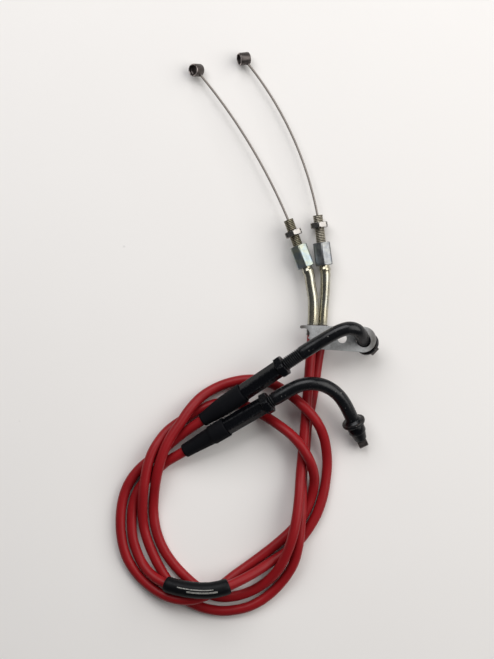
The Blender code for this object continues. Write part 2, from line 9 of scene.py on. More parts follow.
import bmesh
import bpy
from mathutils import Matrix, Vector
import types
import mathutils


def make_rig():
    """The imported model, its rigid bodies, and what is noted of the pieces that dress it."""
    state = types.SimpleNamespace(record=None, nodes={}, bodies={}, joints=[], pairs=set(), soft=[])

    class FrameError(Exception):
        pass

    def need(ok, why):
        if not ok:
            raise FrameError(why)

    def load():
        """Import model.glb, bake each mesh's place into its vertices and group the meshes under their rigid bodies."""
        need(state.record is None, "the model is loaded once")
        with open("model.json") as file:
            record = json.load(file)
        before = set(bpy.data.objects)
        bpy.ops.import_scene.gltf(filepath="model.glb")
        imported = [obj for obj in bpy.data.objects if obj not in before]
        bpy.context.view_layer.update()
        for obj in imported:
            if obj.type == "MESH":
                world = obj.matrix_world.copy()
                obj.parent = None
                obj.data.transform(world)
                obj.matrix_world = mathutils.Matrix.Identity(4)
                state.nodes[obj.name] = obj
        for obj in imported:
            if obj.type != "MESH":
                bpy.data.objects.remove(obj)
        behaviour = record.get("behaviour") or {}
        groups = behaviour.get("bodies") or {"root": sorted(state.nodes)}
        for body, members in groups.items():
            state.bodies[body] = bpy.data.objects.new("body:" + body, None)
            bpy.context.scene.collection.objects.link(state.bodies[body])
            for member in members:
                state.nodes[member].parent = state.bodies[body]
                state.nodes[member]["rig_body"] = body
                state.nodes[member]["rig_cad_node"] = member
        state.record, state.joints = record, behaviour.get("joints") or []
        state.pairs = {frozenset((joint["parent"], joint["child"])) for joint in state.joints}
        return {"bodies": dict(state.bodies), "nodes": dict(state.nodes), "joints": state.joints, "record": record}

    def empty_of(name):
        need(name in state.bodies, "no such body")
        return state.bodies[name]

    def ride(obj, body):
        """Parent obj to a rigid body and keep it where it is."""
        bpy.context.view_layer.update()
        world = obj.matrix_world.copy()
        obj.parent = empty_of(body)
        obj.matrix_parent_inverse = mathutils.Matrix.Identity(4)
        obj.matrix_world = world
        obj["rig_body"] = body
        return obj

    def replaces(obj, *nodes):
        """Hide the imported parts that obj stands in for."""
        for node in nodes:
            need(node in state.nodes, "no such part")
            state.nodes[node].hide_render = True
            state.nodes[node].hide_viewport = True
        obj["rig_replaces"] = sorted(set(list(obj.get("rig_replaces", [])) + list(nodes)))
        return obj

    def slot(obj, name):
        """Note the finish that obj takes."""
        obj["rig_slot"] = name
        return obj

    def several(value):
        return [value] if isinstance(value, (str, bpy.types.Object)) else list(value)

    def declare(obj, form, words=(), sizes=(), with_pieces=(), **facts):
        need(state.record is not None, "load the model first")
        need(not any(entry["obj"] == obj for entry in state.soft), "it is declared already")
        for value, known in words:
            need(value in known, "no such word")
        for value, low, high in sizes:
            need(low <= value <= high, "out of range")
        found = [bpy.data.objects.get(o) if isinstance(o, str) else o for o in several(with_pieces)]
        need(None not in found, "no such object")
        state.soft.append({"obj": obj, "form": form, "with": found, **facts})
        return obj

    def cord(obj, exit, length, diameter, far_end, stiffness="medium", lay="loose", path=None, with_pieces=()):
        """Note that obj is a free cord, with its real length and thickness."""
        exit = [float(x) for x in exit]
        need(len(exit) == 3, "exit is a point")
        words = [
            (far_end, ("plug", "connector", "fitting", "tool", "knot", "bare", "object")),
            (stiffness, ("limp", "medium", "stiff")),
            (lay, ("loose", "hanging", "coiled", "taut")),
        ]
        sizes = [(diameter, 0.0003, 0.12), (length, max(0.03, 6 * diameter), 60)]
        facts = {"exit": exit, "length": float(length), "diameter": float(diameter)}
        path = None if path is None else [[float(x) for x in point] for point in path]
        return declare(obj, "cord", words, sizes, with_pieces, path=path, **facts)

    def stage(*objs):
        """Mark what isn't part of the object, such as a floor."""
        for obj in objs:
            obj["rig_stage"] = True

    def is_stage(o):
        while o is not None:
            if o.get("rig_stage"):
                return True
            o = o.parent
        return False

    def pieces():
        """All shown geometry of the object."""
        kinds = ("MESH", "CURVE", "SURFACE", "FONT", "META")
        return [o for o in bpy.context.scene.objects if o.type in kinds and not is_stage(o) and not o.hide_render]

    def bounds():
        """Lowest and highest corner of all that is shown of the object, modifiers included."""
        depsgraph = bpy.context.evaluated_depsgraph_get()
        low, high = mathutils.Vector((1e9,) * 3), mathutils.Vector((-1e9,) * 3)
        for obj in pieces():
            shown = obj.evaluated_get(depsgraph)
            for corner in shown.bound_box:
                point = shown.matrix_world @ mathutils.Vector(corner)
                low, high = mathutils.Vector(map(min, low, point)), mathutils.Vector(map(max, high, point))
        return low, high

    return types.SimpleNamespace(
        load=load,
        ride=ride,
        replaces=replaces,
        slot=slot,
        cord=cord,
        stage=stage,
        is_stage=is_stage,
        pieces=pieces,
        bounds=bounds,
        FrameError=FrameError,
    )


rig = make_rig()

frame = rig.load()
cad_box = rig.bounds()
joints = {joint["name"]: joint for joint in frame["record"]["behaviour"]["joints"]}

MM = 0.001
LAYOUT_ORIGIN = Vector((12.5, 4.8, 0.02))
UP = Vector((0.0, 0.0, 1.0))
RIGHT = Vector((1.0, 0.0, 0.0))
CAMERA_OVER = (-1.2, 1.5, 1000.0)  # on the layout, like every place below
VIEW_HEIGHT = 395.4  # of the table that the camera sees, top to bottom
TABLE_HALF = 4.5  # in metres

SHEATH_D = 6.0
SHEATH_SIDES = 28
SHEATH_END = 27.2  # places along the grip end are measured from the boot's tail
STRAIGHT_FROM = -8.0
MARKER_START = 548.0
MARKER_LENGTH = 38.5
MARKER_R = 4.9
MARKER_BORE_R = 3.45
MARKER_LINES = ((7.0, 24.0, -16.0, -4.0), (9.0, 30.0, 6.0, 13.0))  # start, end, low and high in degrees
LINE_FOOT_R = 4.70
LINE_TOP_R = 4.99
WIRE_R = 0.7
WIRE_INSIDE = 7.0
WIRE_STROKE = 16.0
ADJUSTER_FLATS = 10.0
ADJUSTER_HEX = 13.5
ADJUSTER_LENGTH = 30.0
ADJUSTER_BORE_R = 1.6
ADJUSTER_SOCKET = 3.0  # how far the pipe goes in
M6_R = 2.95
M6_ROOT_R = 2.68
M6_PITCH = 1.0
M6_NUT_FLATS = 10.0
M6_NUT_HEIGHT = 3.3
PIPE_R = 3.05
PIPE_WALL = 0.75
CRIMP_R = 3.38
CRIMP_BORE_R = 3.12
CRIMP_HALF = 3.2
NIPPLE_R = 3.8
NIPPLE_LENGTH = 6.4
BOOT_LENGTH = 30.0
BARREL_START = 20.6
BARREL_END = 55.5
BARREL_FLATS = 9.2
M8_NUT_FLATS = 12.0
M8_NUT_HEIGHT = 4.5
M8_NUT_ROLL = 22.0  # degrees past the barrel's own roll
THREAD_START = 38.0
M8_R = 3.98
M8_ROOT_R = 3.22
M8_PITCH = 1.25
BARREL_BORE_R = 4.25
ELBOW_PIPE_R = 4.12
ELBOW_BORE_R = 2.4
FLANGE_R = 7.0
FLANGE_HALF = 1.0
GRIP_NIPPLE_R = 2.6
GRIP_NIPPLE_LENGTH = 5.6
PLATE_THICK = 1.6
PLATE_RING_R = 7.6
RING_HOLE = (9.9, 8.4, -52.5)  # length, width and lean of the hole round the pull elbow
NOTCH_AT = (-34.9, 3.4)
NOTCH_R = 3.2
GAP = 0.3

PUSH_ROUTE = [
    (37.7, 1.2, 8.4), (37.3, -7, 8.4), (36.2, -20, 8.6), (35.2, -33, 8.8), (34.2, -45.5, 9.0),
    (33.3, -56, 9.2), (32.1, -69.5, 9.4), (30.6, -84.9, 10.5), (29.7, -97, 13.4), (28.2, -109, 15.5),
    (26.0, -120, 15.6), (22.6, -130.4, 13.4), (17.2, -141.4, 9.6), (9.9, -149.3, 5.6), (1, -155, 3.4),
    (-8.4, -158, 3.1), (-18, -158.4, 3.1), (-27.4, -154.8, 3.1), (-36.8, -147.4, 3.1), (-45.2, -138.6, 3.1),
    (-51.3, -129.5, 3.1), (-55.4, -119, 3.1), (-57.1, -107.5, 3.2), (-56.7, -98, 5.0), (-55.4, -88.5, 8.6),
    (-53.4, -79.5, 11.0), (-50.2, -69.8, 11.6), (-46, -61.6, 11.2), (-41.2, -54.6, 10.4),
    (-35.2, -45.8, 8.6), (-27.8, -38.2, 5.4), (-17.6, -32.4, 3.3), (-7, -29.2, 3.1), (3, -28.4, 3.2),
    (12, -30.2, 5.0), (20, -34.2, 8.8), (27, -39.2, 13.0), (33.6, -45.2, 15.5), (39.4, -52, 14.6),
    (43.6, -60, 11.0), (45.9, -69, 7.0), (46.7, -78.5, 4.2), (46.0, -87.6, 3.1), (44.4, -97.2, 3.1),
    (41.2, -107.4, 3.1), (35.9, -117.2, 3.1), (29.0, -125.9, 3.1), (21, -132.4, 3.8), (12.3, -137.6, 6.4),
    (3.5, -142.7, 10.6), (-5.5, -147.1, 14.4), (-14, -150.5, 16.8), (-22.8, -152.3, 17.4),
    (-32.1, -152.4, 16), (-40.8, -151.4, 13.8), (-49.2, -149.4, 11.2), (-57, -145.4, 8.0),
    (-63.3, -138.8, 4.8), (-67.2, -131, 3.2), (-69.6, -122.5, 3.1), (-70.2, -113, 3.1), (-69.4, -103.6, 3.1),
    (-66.6, -95.4, 3.1), (-62.0, -89, 3.1), (-56.6, -83.8, 3.4), (-51.4, -79.2, 4.3),
]
PULL_ROUTE = [
    (43.5, 1.2, 3.65), (42.8, -7, 3.6), (40.8, -20, 3.2), (39.0, -33, 3.1), (36.8, -45.5, 3.1),
    (34.9, -56, 3.1), (33.7, -69.5, 3.1), (32.6, -79, 3.2), (31.7, -88.5, 4.6), (31.6, -98, 7.2),
    (31.3, -107, 9.2), (30.6, -116, 9.7), (29.4, -126.5, 9.6), (26.3, -138.4, 7.4), (19.2, -149.7, 4.4),
    (10.1, -158.6, 3.1), (1, -163.8, 3.1), (-8.2, -166.2, 3.1), (-17, -166.8, 3.1), (-26.5, -165.2, 3.1),
    (-35.6, -161.4, 3.1), (-43.2, -155.6, 3.1), (-49.4, -147.4, 3.1), (-54.9, -138, 3.1),
    (-59.6, -127.6, 3.1), (-62.9, -116.5, 3.3), (-63.6, -105, 6.2), (-62.8, -94.5, 9.5),
    (-61.6, -86, 10.1), (-60.1, -79, 10.0), (-57.8, -72.2, 9.2), (-54.4, -66.2, 7.9),
    (-49.6, -60, 4.6), (-43.4, -55, 3.1), (-36, -50.4, 3.1),
    (-28.4, -46, 3.1), (-20.4, -43, 3.1), (-11.4, -42, 3.1), (-3.4, -43.6, 3.2), (4.6, -47.2, 4.6),
    (11.4, -51.2, 7.4), (18.2, -55.6, 11.2), (25, -60.8, 14.6), (30.6, -67.0, 16.6), (34.6, -73.6, 16.0),
    (37.6, -80.6, 12.0), (38.9, -88.6, 7.0), (37.6, -97.2, 3.6), (34.7, -105.4, 3.1), (30.2, -113.2, 3.1),
    (22.8, -121.2, 3.1), (14.2, -128.6, 3.1), (4.8, -135.8, 3.1), (-3.6, -141.8, 3.8), (-9.6, -145.8, 5.6),
    (-16.2, -150.8, 8.0), (-24.4, -156.0, 9.6), (-32, -158.8, 9.9), (-40, -159.2, 9.7),
    (-49.4, -157.2, 7.8), (-58, -152.6, 4.9), (-66.6, -145, 3.2), (-73, -135, 3.1), (-76.3, -122.5, 3.1),
    (-76.8, -110, 3.1), (-75.2, -99, 3.1), (-71.4, -89.6, 3.1), (-65.6, -82.0, 3.1), (-58.6, -76.0, 3.1),
    (-51.6, -70.6, 3.3), (-44.8, -64.8, 4.4),
]

# nut_at is along the adjuster from its base, and wire_length along the bare wire from the adjuster's
# tip. boot has (distance from its tail, radius) points, and thread_end is measured from the tail too.
# elbow, end_at and the two routes are points on the layout, and flange_after follows end_at.
CABLES = {
    "pull": {
        "route": PULL_ROUTE,
        "pipe": [(43.6, 4.4, 3.75), (44.2, 12.5, 4.2), (45.0, 21.0, 5.0), (45.4, 29.0, 6.0)],
        "nut_at": 24.1, "wire_length": 104.5, "wire_bend_r": 205.0,
        "nipple_axis": (-0.92, -0.16, 0.36),
        "boot": [(4, 4.4), (6, 4.63), (8, 4.9), (10.5, 5.22), (13, 5.5), (16, 5.7), (20, 5.85), (28.4, 5.95)],
        "thread_end": 72.4, "barrel_roll": 33.0,
        "elbow": [(39.4, -7.0, 26.2), (47.0, -2.4, 27.8), (53.4, 0.9, 28.6), (58.6, 2.2, 28.4),
                  (62.6, 1.3, 26.8), (65.3, -1.1, 23.4)],
        "end_at": (67.3, -4.4, 18.2), "flange_after": 6.8, "cap_length": 4.6,
    },
    "push": {
        "route": PUSH_ROUTE,
        "pipe": [(37.8, 4.4, 8.4), (38.1, 12.0, 8.7), (37.9, 20.0, 9.1), (36.6, 28.5, 9.4)],
        "nut_at": 21.5, "wire_length": 105.5, "wire_bend_r": 345.0,
        "nipple_axis": (-0.64, -0.10, 0.76),
        "boot": [(6, 4.4), (9, 4.58), (12, 4.8), (18.6, 5.28), (19.0, 5.4), (19.6, 5.76), (20.2, 5.84),
                 (28.4, 5.9)],
        "thread_end": 63.4, "barrel_roll": 24.0,
        "elbow": [(24.4, -33.7, 23.2), (30.0, -31.2, 24.2), (36.0, -30.2, 24.4), (42.1, -30.8, 23.6),
                  (47.8, -33.3, 21.8), (52.6, -37.2, 19.6), (56.3, -42.1, 17.2)],
        "end_at": (59.6, -48.3, 14.4), "flange_after": 6.4, "cap_length": 11.4,
    },
}


# ---------------------------------------------------------------- places


def world(point):
    """A layout point in millimetres as a point of the row frame in metres."""
    return (Vector(point) - LAYOUT_ORIGIN) * MM


def layout(point):
    """A point of the row frame in metres as a layout point in millimetres."""
    return Vector(point) / MM + LAYOUT_ORIGIN


def frame_at(point, axis, side=UP, roll=0.0):
    """A placement whose +Z runs along the axis and whose +X leans to the side vector."""
    z = Vector(axis).normalized()
    x = (Vector(side) - Vector(side).dot(z) * z).normalized()
    matrix = Matrix((x, z.cross(x), z)).transposed().to_4x4()
    matrix.translation = Vector(point)
    return matrix @ Matrix.Rotation(math.radians(roll), 4, "Z")


def smooth_path(points, step):
    """Even steps along a centripetal Catmull-Rom curve through the points."""
    knots = [Vector(p) for p in points]
    knots = [2 * knots[0] - knots[1]] + knots + [2 * knots[-1] - knots[-2]]
    fine = []
    for a, b, c, d in zip(knots, knots[1:], knots[2:], knots[3:]):
        t1 = math.sqrt((b - a).length)
        t2 = t1 + math.sqrt((c - b).length)
        t3 = t2 + math.sqrt((d - c).length)
        for i in range(24):
            t = t1 + (t2 - t1) * i / 24
            ab = a.lerp(b, t / t1)
            bc = b.lerp(c, (t - t1) / (t2 - t1))
            cd = c.lerp(d, (t - t2) / (t3 - t2))
            abc = ab.lerp(bc, t / t2)
            bcd = bc.lerp(cd, (t - t1) / (t3 - t1))
            fine.append(abc.lerp(bcd, (t - t1) / (t2 - t1)))
    fine.append(knots[-2])
    return even_steps(fine, step)


def even_steps(points, step):
    """The same polyline with its points a constant distance apart."""
    lengths = travelled(points)
    count = max(2, round(lengths[-1] / step))
    spaced, segment = [], 0
    for i in range(count + 1):
        wanted = lengths[-1] * i / count
        while segment < len(points) - 2 and lengths[segment + 1] < wanted:
            segment += 1
        share = (wanted - lengths[segment]) / (lengths[segment + 1] - lengths[segment])
        spaced.append(points[segment].lerp(points[segment + 1], min(1.0, share)))
    return spaced


def travelled(points):
    """The distance from the first point to each point of a polyline."""
    lengths = [0.0]
    for a, b in zip(points, points[1:]):
        lengths.append(lengths[-1] + (b - a).length)
    return lengths


class Fitting:
    """The axes of one cable's end fittings, read from its joints."""

    def __init__(self, name):
        cable = CABLES[name]
        turn = joints[name + "_adjuster_turn"]
        self.base = layout(turn["pos_m"])
        self.along = Vector(turn["axis"]).normalized()
        self.inwards = UP.cross(self.along).normalized()
        barrel = joints[name + "_barrel_turn"]
        self.grip = Vector(barrel["axis"]).normalized()
        self.tail = layout(barrel["pos_m"]) - self.grip * BARREL_START
        self.end_axis = Vector(joints[name + "_grip_travel"]["axis"]).normalized()
        self.flange_at = Vector(cable["end_at"]) + self.end_axis * cable["flange_after"]
        self.arc_centre = layout(joints[name + "_wire_travel"]["pos_m"])
        self.arc_r = cable["wire_bend_r"]

    def at(self, s):
        """The point at a distance from the boot's tail, along the grip end's straight run."""
        return self.tail + self.grip * s

    def arc_point(self, beyond_tip):
        """The engine wire's centre at an arc length beyond the adjuster's open tip."""
        turn = self.arc_turn(beyond_tip)
        return (self.arc_centre - self.inwards * self.arc_r * math.cos(turn)
                + self.along * self.arc_r * math.sin(turn))

    def arc_turn(self, beyond_tip):
        return (beyond_tip + (WIRE_INSIDE + WIRE_STROKE) / 2) / self.arc_r


# ---------------------------------------------------------------- materials


def node(tree, kind, **inputs):
    """A shader node with some of its inputs set to a value or linked to a socket."""
    made = tree.nodes.new(kind)
    for key, value in inputs.items():
        put(tree, made.inputs[key.replace("_", " ")], value)
    return made


def put(tree, socket, value):
    """Link a socket to another one, or set it to a constant."""
    if isinstance(value, bpy.types.NodeSocket):
        tree.links.new(value, socket)
    elif isinstance(value, tuple) and len(value) == 3 and socket.type == "RGBA":
        socket.default_value = (*value, 1.0)
    else:
        socket.default_value = value


def noise(tree, vector, scale, detail=4.0, rough=0.55):
    """Noise between 0 and 1. scale is in features for each metre (or each unit of UV)."""
    made = node(tree, "ShaderNodeTexNoise", Vector=vector, Scale=scale, Detail=detail, Roughness=rough)
    return made.outputs[0]


def band(tree, value, low, high, to_low=0.0, to_high=1.0):
    """The value's stretch from low to high, as a number from to_low to to_high."""
    made = node(tree, "ShaderNodeMapRange", Value=value)
    for key, number in (("From Min", low), ("From Max", high), ("To Min", to_low), ("To Max", to_high)):
        made.inputs[key].default_value = number
    return made.outputs[0]


def mixed(tree, factor, first, second):
    """A colour between two colours."""
    made = tree.nodes.new("ShaderNodeMix")
    made.data_type = "RGBA"
    put(tree, made.inputs[0], factor)
    put(tree, made.inputs[6], first)
    put(tree, made.inputs[7], second)
    return made.outputs[2]


def maths(tree, operation, first, second):
    made = tree.nodes.new("ShaderNodeMath")
    made.operation = operation
    made.use_clamp = True
    put(tree, made.inputs[0], first)
    put(tree, made.inputs[1], second)
    return made.outputs[0]


def bumped(tree, height, strength, distance, normal=None):
    made = node(tree, "ShaderNodeBump", Height=height)
    made.inputs["Strength"].default_value = strength
    made.inputs["Distance"].default_value = distance
    if normal is not None:
        tree.links.new(normal, made.inputs["Normal"])
    return made.outputs[0]


class Finish:
    """A material with its Principled shader and the coordinates that its textures use."""

    def __init__(self, name, metallic=0.0, sheen=0.0, specular=0.5):
        self.material = bpy.data.materials.new(name)
        self.material.use_nodes = True
        self.tree = self.material.node_tree
        self.shader = self.tree.nodes["Principled BSDF"]
        self.shader.inputs["Metallic"].default_value = metallic
        self.shader.inputs["Sheen Weight"].default_value = sheen
        self.shader.inputs["Specular IOR Level"].default_value = specular
        coordinates = self.tree.nodes.new("ShaderNodeTexCoord")
        self.object = coordinates.outputs["Object"]
        self.uv = coordinates.outputs["UV"]
        # The per-vertex wear mask: real wear on corners and collar rims, thread depth for painted shade and highlight,
        # and rim marks for a painted highlight on the nipples.
        wear_and_painted_light = self.tree.nodes.new("ShaderNodeAttribute")
        wear_and_painted_light.attribute_name = "wear_and_painted_light"
        self.wear_and_painted_light = wear_and_painted_light.outputs["Fac"]

    def stretched(self, along, around):
        """UV coordinates scaled: u runs along a piece in centimetres, v once round it."""
        mapping = node(self.tree, "ShaderNodeMapping", Vector=self.uv)
        mapping.inputs["Scale"].default_value = (along, around, 1.0)
        return mapping.outputs[0]

    def set(self, colour, roughness, normal=None):
        put(self.tree, self.shader.inputs["Base Color"], colour)
        put(self.tree, self.shader.inputs["Roughness"], roughness)
        if normal is not None:
            self.tree.links.new(normal, self.shader.inputs["Normal"])
        return self.material


def red_pvc():
    """Soft red PVC: faint mottling, long dirty streaks and a few dark scuffs."""
    f = Finish("red_pvc_cover", specular=0.19)
    t = f.tree
    mottled = mixed(t, noise(t, f.object, 90.0), (0.212, 0.0062, 0.0086), (0.310, 0.0112, 0.0150))
    streak = noise(t, f.stretched(0.35, 5.0), 3.0, 5.0, 0.6)
    dirt = band(t, streak, 0.58, 0.80, 0.0, 0.5)
    dirty = mixed(t, dirt, mottled, (0.095, 0.009, 0.010))
    patch = band(t, noise(t, f.object, 38.0, 3.0), 0.62, 0.74)
    scuff = band(t, noise(t, f.stretched(1.2, 9.0), 5.0, 6.0, 0.7), 0.52, 0.66)
    scuffed = mixed(t, maths(t, "MULTIPLY", patch, scuff), dirty, (0.045, 0.012, 0.012))
    rough = band(t, noise(t, f.object, 700.0), 0.3, 0.7, 0.32, 0.45)
    fine = bumped(t, noise(t, f.object, 2600.0, 3.0), 0.10, 0.0002)
    wavy = bumped(t, noise(t, f.stretched(0.5, 1.0), 2.0, 2.0), 0.10, 0.0006, fine)
    return f.set(scuffed, rough, wavy)


def black_rubber():
    """Dull moulded rubber with dusty patches."""
    f = Finish("black_rubber_skin", sheen=0.005, specular=0.10)
    t = f.tree
    dust = band(t, noise(t, f.object, 160.0, 5.0, 0.65), 0.55, 0.85, 0.0, 0.5)
    colour = mixed(t, dust, (0.0036, 0.0038, 0.0052), (0.0095, 0.0096, 0.0108))
    rough = band(t, noise(t, f.object, 900.0), 0.3, 0.7, 0.62, 0.80)
    grain = bumped(t, noise(t, f.object, 3200.0, 4.0, 0.7), 0.25, 0.0002)
    soft = bumped(t, noise(t, f.stretched(1.5, 2.0), 2.0, 2.0), 0.25, 0.0004, grain)
    return f.set(colour, rough, soft)


def black_oxide():
    """Blackened steel hardware: satin, with bare grey on its worn edges."""
    f = Finish("black_oxide_steel", metallic=0.08, specular=0.20)
    t = f.tree
    tone = mixed(t, noise(t, f.object, 300.0), (0.0018, 0.0020, 0.0030), (0.0036, 0.0039, 0.0052))
    worn = maths(t, "MULTIPLY", f.wear_and_painted_light, band(t, noise(t, f.object, 900.0, 5.0, 0.7), 0.46, 0.72, 0.0, 0.45))
    colour = mixed(t, worn, tone, (0.10, 0.10, 0.104))
    rough = band(t, noise(t, f.object, 650.0, 5.0), 0.3, 0.7, 0.20, 0.33)
    brushed = bumped(t, noise(t, f.stretched(0.5, 60.0), 3.0, 3.0), 0.10, 0.00012)
    return f.set(colour, rough, bumped(t, noise(t, f.object, 2400.0, 5.0), 0.12, 0.00015, brushed))


def black_thread():
    """Blackened satin screw thread: pale crests as a painted highlight, over roots painted near-black as shade."""
    f = Finish("black_thread_steel", metallic=0.1, specular=0.14)
    t = f.tree
    # painted highlight: the crests are pale grey
    crest = mixed(t, noise(t, f.object, 900.0, 4.0), (0.045, 0.047, 0.052), (0.095, 0.098, 0.104))
    # painted shade: all but the crest tips go near-black
    root = band(t, f.wear_and_painted_light, 0.0, 0.06)
    colour = mixed(t, root, crest, (0.0012, 0.0013, 0.0018))
    rough = band(t, noise(t, f.object, 1200.0, 4.0), 0.3, 0.7, 0.28, 0.45)
    return f.set(colour, rough, bumped(t, noise(t, f.object, 3000.0, 4.0), 0.15, 0.0001))


def black_paint():
    """Semi-gloss black paint on tube, with dust, pin-head chips and a little orange peel."""
    f = Finish("black_tube_paint", specular=0.34)
    t = f.tree
    tone = mixed(t, noise(t, f.object, 120.0), (0.0020, 0.0023, 0.0033), (0.0040, 0.0044, 0.0057))
    specks = band(t, noise(t, f.object, 820.0, 2.0, 0.4), 0.735, 0.76)
    dusty = mixed(t, band(t, noise(t, f.object, 260.0, 6.0, 0.7), 0.50, 0.80, 0.0, 0.13), tone,
                  (0.050, 0.048, 0.047))
    colour = mixed(t, specks, dusty, (0.32, 0.31, 0.29))
    rusty = maths(t, "MULTIPLY", f.wear_and_painted_light, band(t, noise(t, f.object, 700.0, 5.0, 0.7), 0.48, 0.68))
    colour = mixed(t, rusty, colour, (0.045, 0.032, 0.025))
    rough = band(t, noise(t, f.object, 420.0, 5.0), 0.3, 0.7, 0.23, 0.34)
    peel = bumped(t, noise(t, f.object, 1500.0, 2.0), 0.10, 0.00022)
    return f.set(colour, rough, peel)


def zinc(name, first, second):
    """Bright zinc plate with a cast, soot-grey patches and drawing lines."""
    f = Finish(name, metallic=1.0)
    t = f.tree
    cast = mixed(t, band(t, noise(t, f.object, 130.0, 3.0), 0.35, 0.65), first, second)
    stain = band(t, noise(t, f.stretched(0.4, 3.0), 2.5, 5.0, 0.65), 0.52, 0.78, 0.0, 0.65)
    darkening = mixed(t, stain, cast, (0.16, 0.145, 0.105))
    pits = band(t, noise(t, f.object, 1400.0, 2.0), 0.70, 0.76, 0.0, 0.8)
    colour = mixed(t, pits, darkening, (0.10, 0.085, 0.055))
    rough = band(t, noise(t, f.stretched(0.6, 4.0), 3.0, 4.0), 0.3, 0.7, 0.20, 0.32)
    drawn = bumped(t, noise(t, f.stretched(0.15, 3.0), 2.0, 2.0), 0.12, 0.0004)
    return f.set(colour, rough, drawn)


def blue_zinc(name, darkening, first, second, third):
    """Blue-white passivated zinc on the hexagons: cool, cloudy and a little iridescent; the second argument adds dark
    stain as painted shade.
    """
    f = Finish(name, metallic=1.0)
    t = f.tree
    cloud = band(t, noise(t, f.object, 210.0, 4.0, 0.6), 0.38, 0.62)
    cool = mixed(t, cloud, first, second)
    tint = band(t, noise(t, f.object, 150.0, 2.0), 0.50, 0.66, 0.0, 0.7)
    tinted = mixed(t, tint, cool, third)
    # painted shade: the second argument widens and deepens the dark stain
    stain = band(t, noise(t, f.object, 520.0, 6.0, 0.7), 0.56 - darkening, 0.74, 0.0, 0.6 + darkening)
    colour = mixed(t, stain, tinted, (0.13, 0.135, 0.145))
    rough = band(t, noise(t, f.object, 400.0, 5.0), 0.3, 0.7, 0.28, 0.46)
    return f.set(colour, rough, bumped(t, noise(t, f.object, 700.0, 4.0, 0.6), 0.10, 0.0002))


def thread_zinc(name, first, second):
    """Dirty zinc on the threads, with painted shade in the roots."""
    f = Finish(name, metallic=1.0)
    t = f.tree
    cloud = band(t, noise(t, f.object, 600.0, 4.0), 0.35, 0.65)
    cast = mixed(t, cloud, first, second)
    # painted shade: the roots go dark brown
    colour = mixed(t, band(t, f.wear_and_painted_light, 0.25, 0.95), cast, (0.030, 0.028, 0.022))
    rough = band(t, noise(t, f.object, 1200.0, 4.0), 0.3, 0.7, 0.34, 0.55)
    return f.set(colour, rough, bumped(t, noise(t, f.object, 3000.0, 4.0), 0.2, 0.00012))


def plate_zinc():
    """Dull grey plating on stamped sheet: spangled and matt, with brown painted shade at the hook's end and the
    elbow's painted shadow on the ring.
    """
    f = Finish("stamped_plate", metallic=0.30, specular=0.4)
    t = f.tree
    cloud = band(t, noise(t, f.object, 900.0, 5.0, 0.7), 0.35, 0.65)
    spangle = mixed(t, cloud, (0.39, 0.395, 0.395), (0.54, 0.545, 0.54))
    grime = band(t, noise(t, f.object, 260.0, 5.0, 0.7), 0.52, 0.74, 0.0, 0.6)
    colour = mixed(t, grime, spangle, (0.120, 0.110, 0.095))
    place = node(t, "ShaderNodeSeparateXYZ", Vector=f.object).outputs[0]
    # painted shade: the hook's end, past 30 mm left of the ring's centre, turns dark brown
    colour = mixed(t, band(t, place, -0.030, -0.0355, 0.0, 0.85), colour, (0.060, 0.047, 0.036))
    # the ring's right side turns darker and browner: its brown edge, with the elbow's painted shadow
    colour = mixed(t, band(t, place, 0.0005, 0.0055, 0.0, 0.72), colour, (0.110, 0.098, 0.084))
    rough = band(t, noise(t, f.object, 1500.0, 4.0), 0.3, 0.7, 0.42, 0.62)
    return f.set(colour, rough, bumped(t, noise(t, f.object, 2200.0, 5.0, 0.7), 0.3, 0.0002))


def dull_zinc():
    """Crimped and swaged sleeves: dull, scratched plating."""
    f = Finish("dull_zinc_sleeve", metallic=0.9)
    t = f.tree
    colour = mixed(t, noise(t, f.object, 700.0, 6.0, 0.7), (0.20, 0.20, 0.185), (0.42, 0.41, 0.37))
    rough = band(t, noise(t, f.object, 900.0, 4.0), 0.3, 0.7, 0.34, 0.55)
    return f.set(colour, rough, bumped(t, noise(t, f.object, 2000.0, 4.0), 0.25, 0.00015))


def steel_wire():
    """Stranded steel wire: grey crests, darker valleys between the strands."""
    f = Finish("strand_steel", metallic=0.5, specular=0.3)
    t = f.tree
    tone = mixed(t, noise(t, f.object, 1500.0, 3.0), (0.29, 0.252, 0.222), (0.42, 0.37, 0.335))
    colour = mixed(t, f.wear_and_painted_light, tone, (0.12, 0.118, 0.112))
    rough = band(t, noise(t, f.object, 1800.0, 3.0), 0.3, 0.7, 0.36, 0.52)
    return f.set(colour, rough, bumped(t, noise(t, f.object, 6000.0, 2.0), 0.1, 0.00005))


def dark_steel():
    """Oil-darkened nipple steel with pale pinkish spots on its rims as a painted highlight; on the crimp sleeves it
    stands for painted shade.
    """
    f = Finish("nipple_steel", metallic=0.9)
    t = f.tree
    tone = mixed(t, noise(t, f.object, 500.0, 5.0, 0.7), (0.045, 0.038, 0.036), (0.135, 0.117, 0.110))
    # painted highlight: pale pinkish spots on the marked rims
    bright = maths(t, "MULTIPLY", f.wear_and_painted_light, band(t, noise(t, f.object, 300.0, 3.0), 0.38, 0.52))
    colour = mixed(t, bright, tone, (0.66, 0.58, 0.55))
    rough = band(t, noise(t, f.object, 900.0, 4.0), 0.3, 0.7, 0.30, 0.5)
    return f.set(colour, rough, bumped(t, noise(t, f.object, 1600.0, 5.0), 0.25, 0.0002))


def sleeve_rubber():
    """Shrink tube: black, satin and lightly ribbed."""
    f = Finish("marker_tube", specular=0.14)
    t = f.tree
    colour = mixed(t, noise(t, f.object, 500.0, 5.0), (0.0020, 0.0022, 0.0030), (0.0046, 0.0049, 0.0060))
    rough = band(t, noise(t, f.object, 800.0, 4.0), 0.3, 0.7, 0.38, 0.54)
    ribs = bumped(t, noise(t, f.stretched(16.0, 0.5), 3.0, 2.0), 0.25, 0.0002)
    return f.set(colour, rough, ribs)


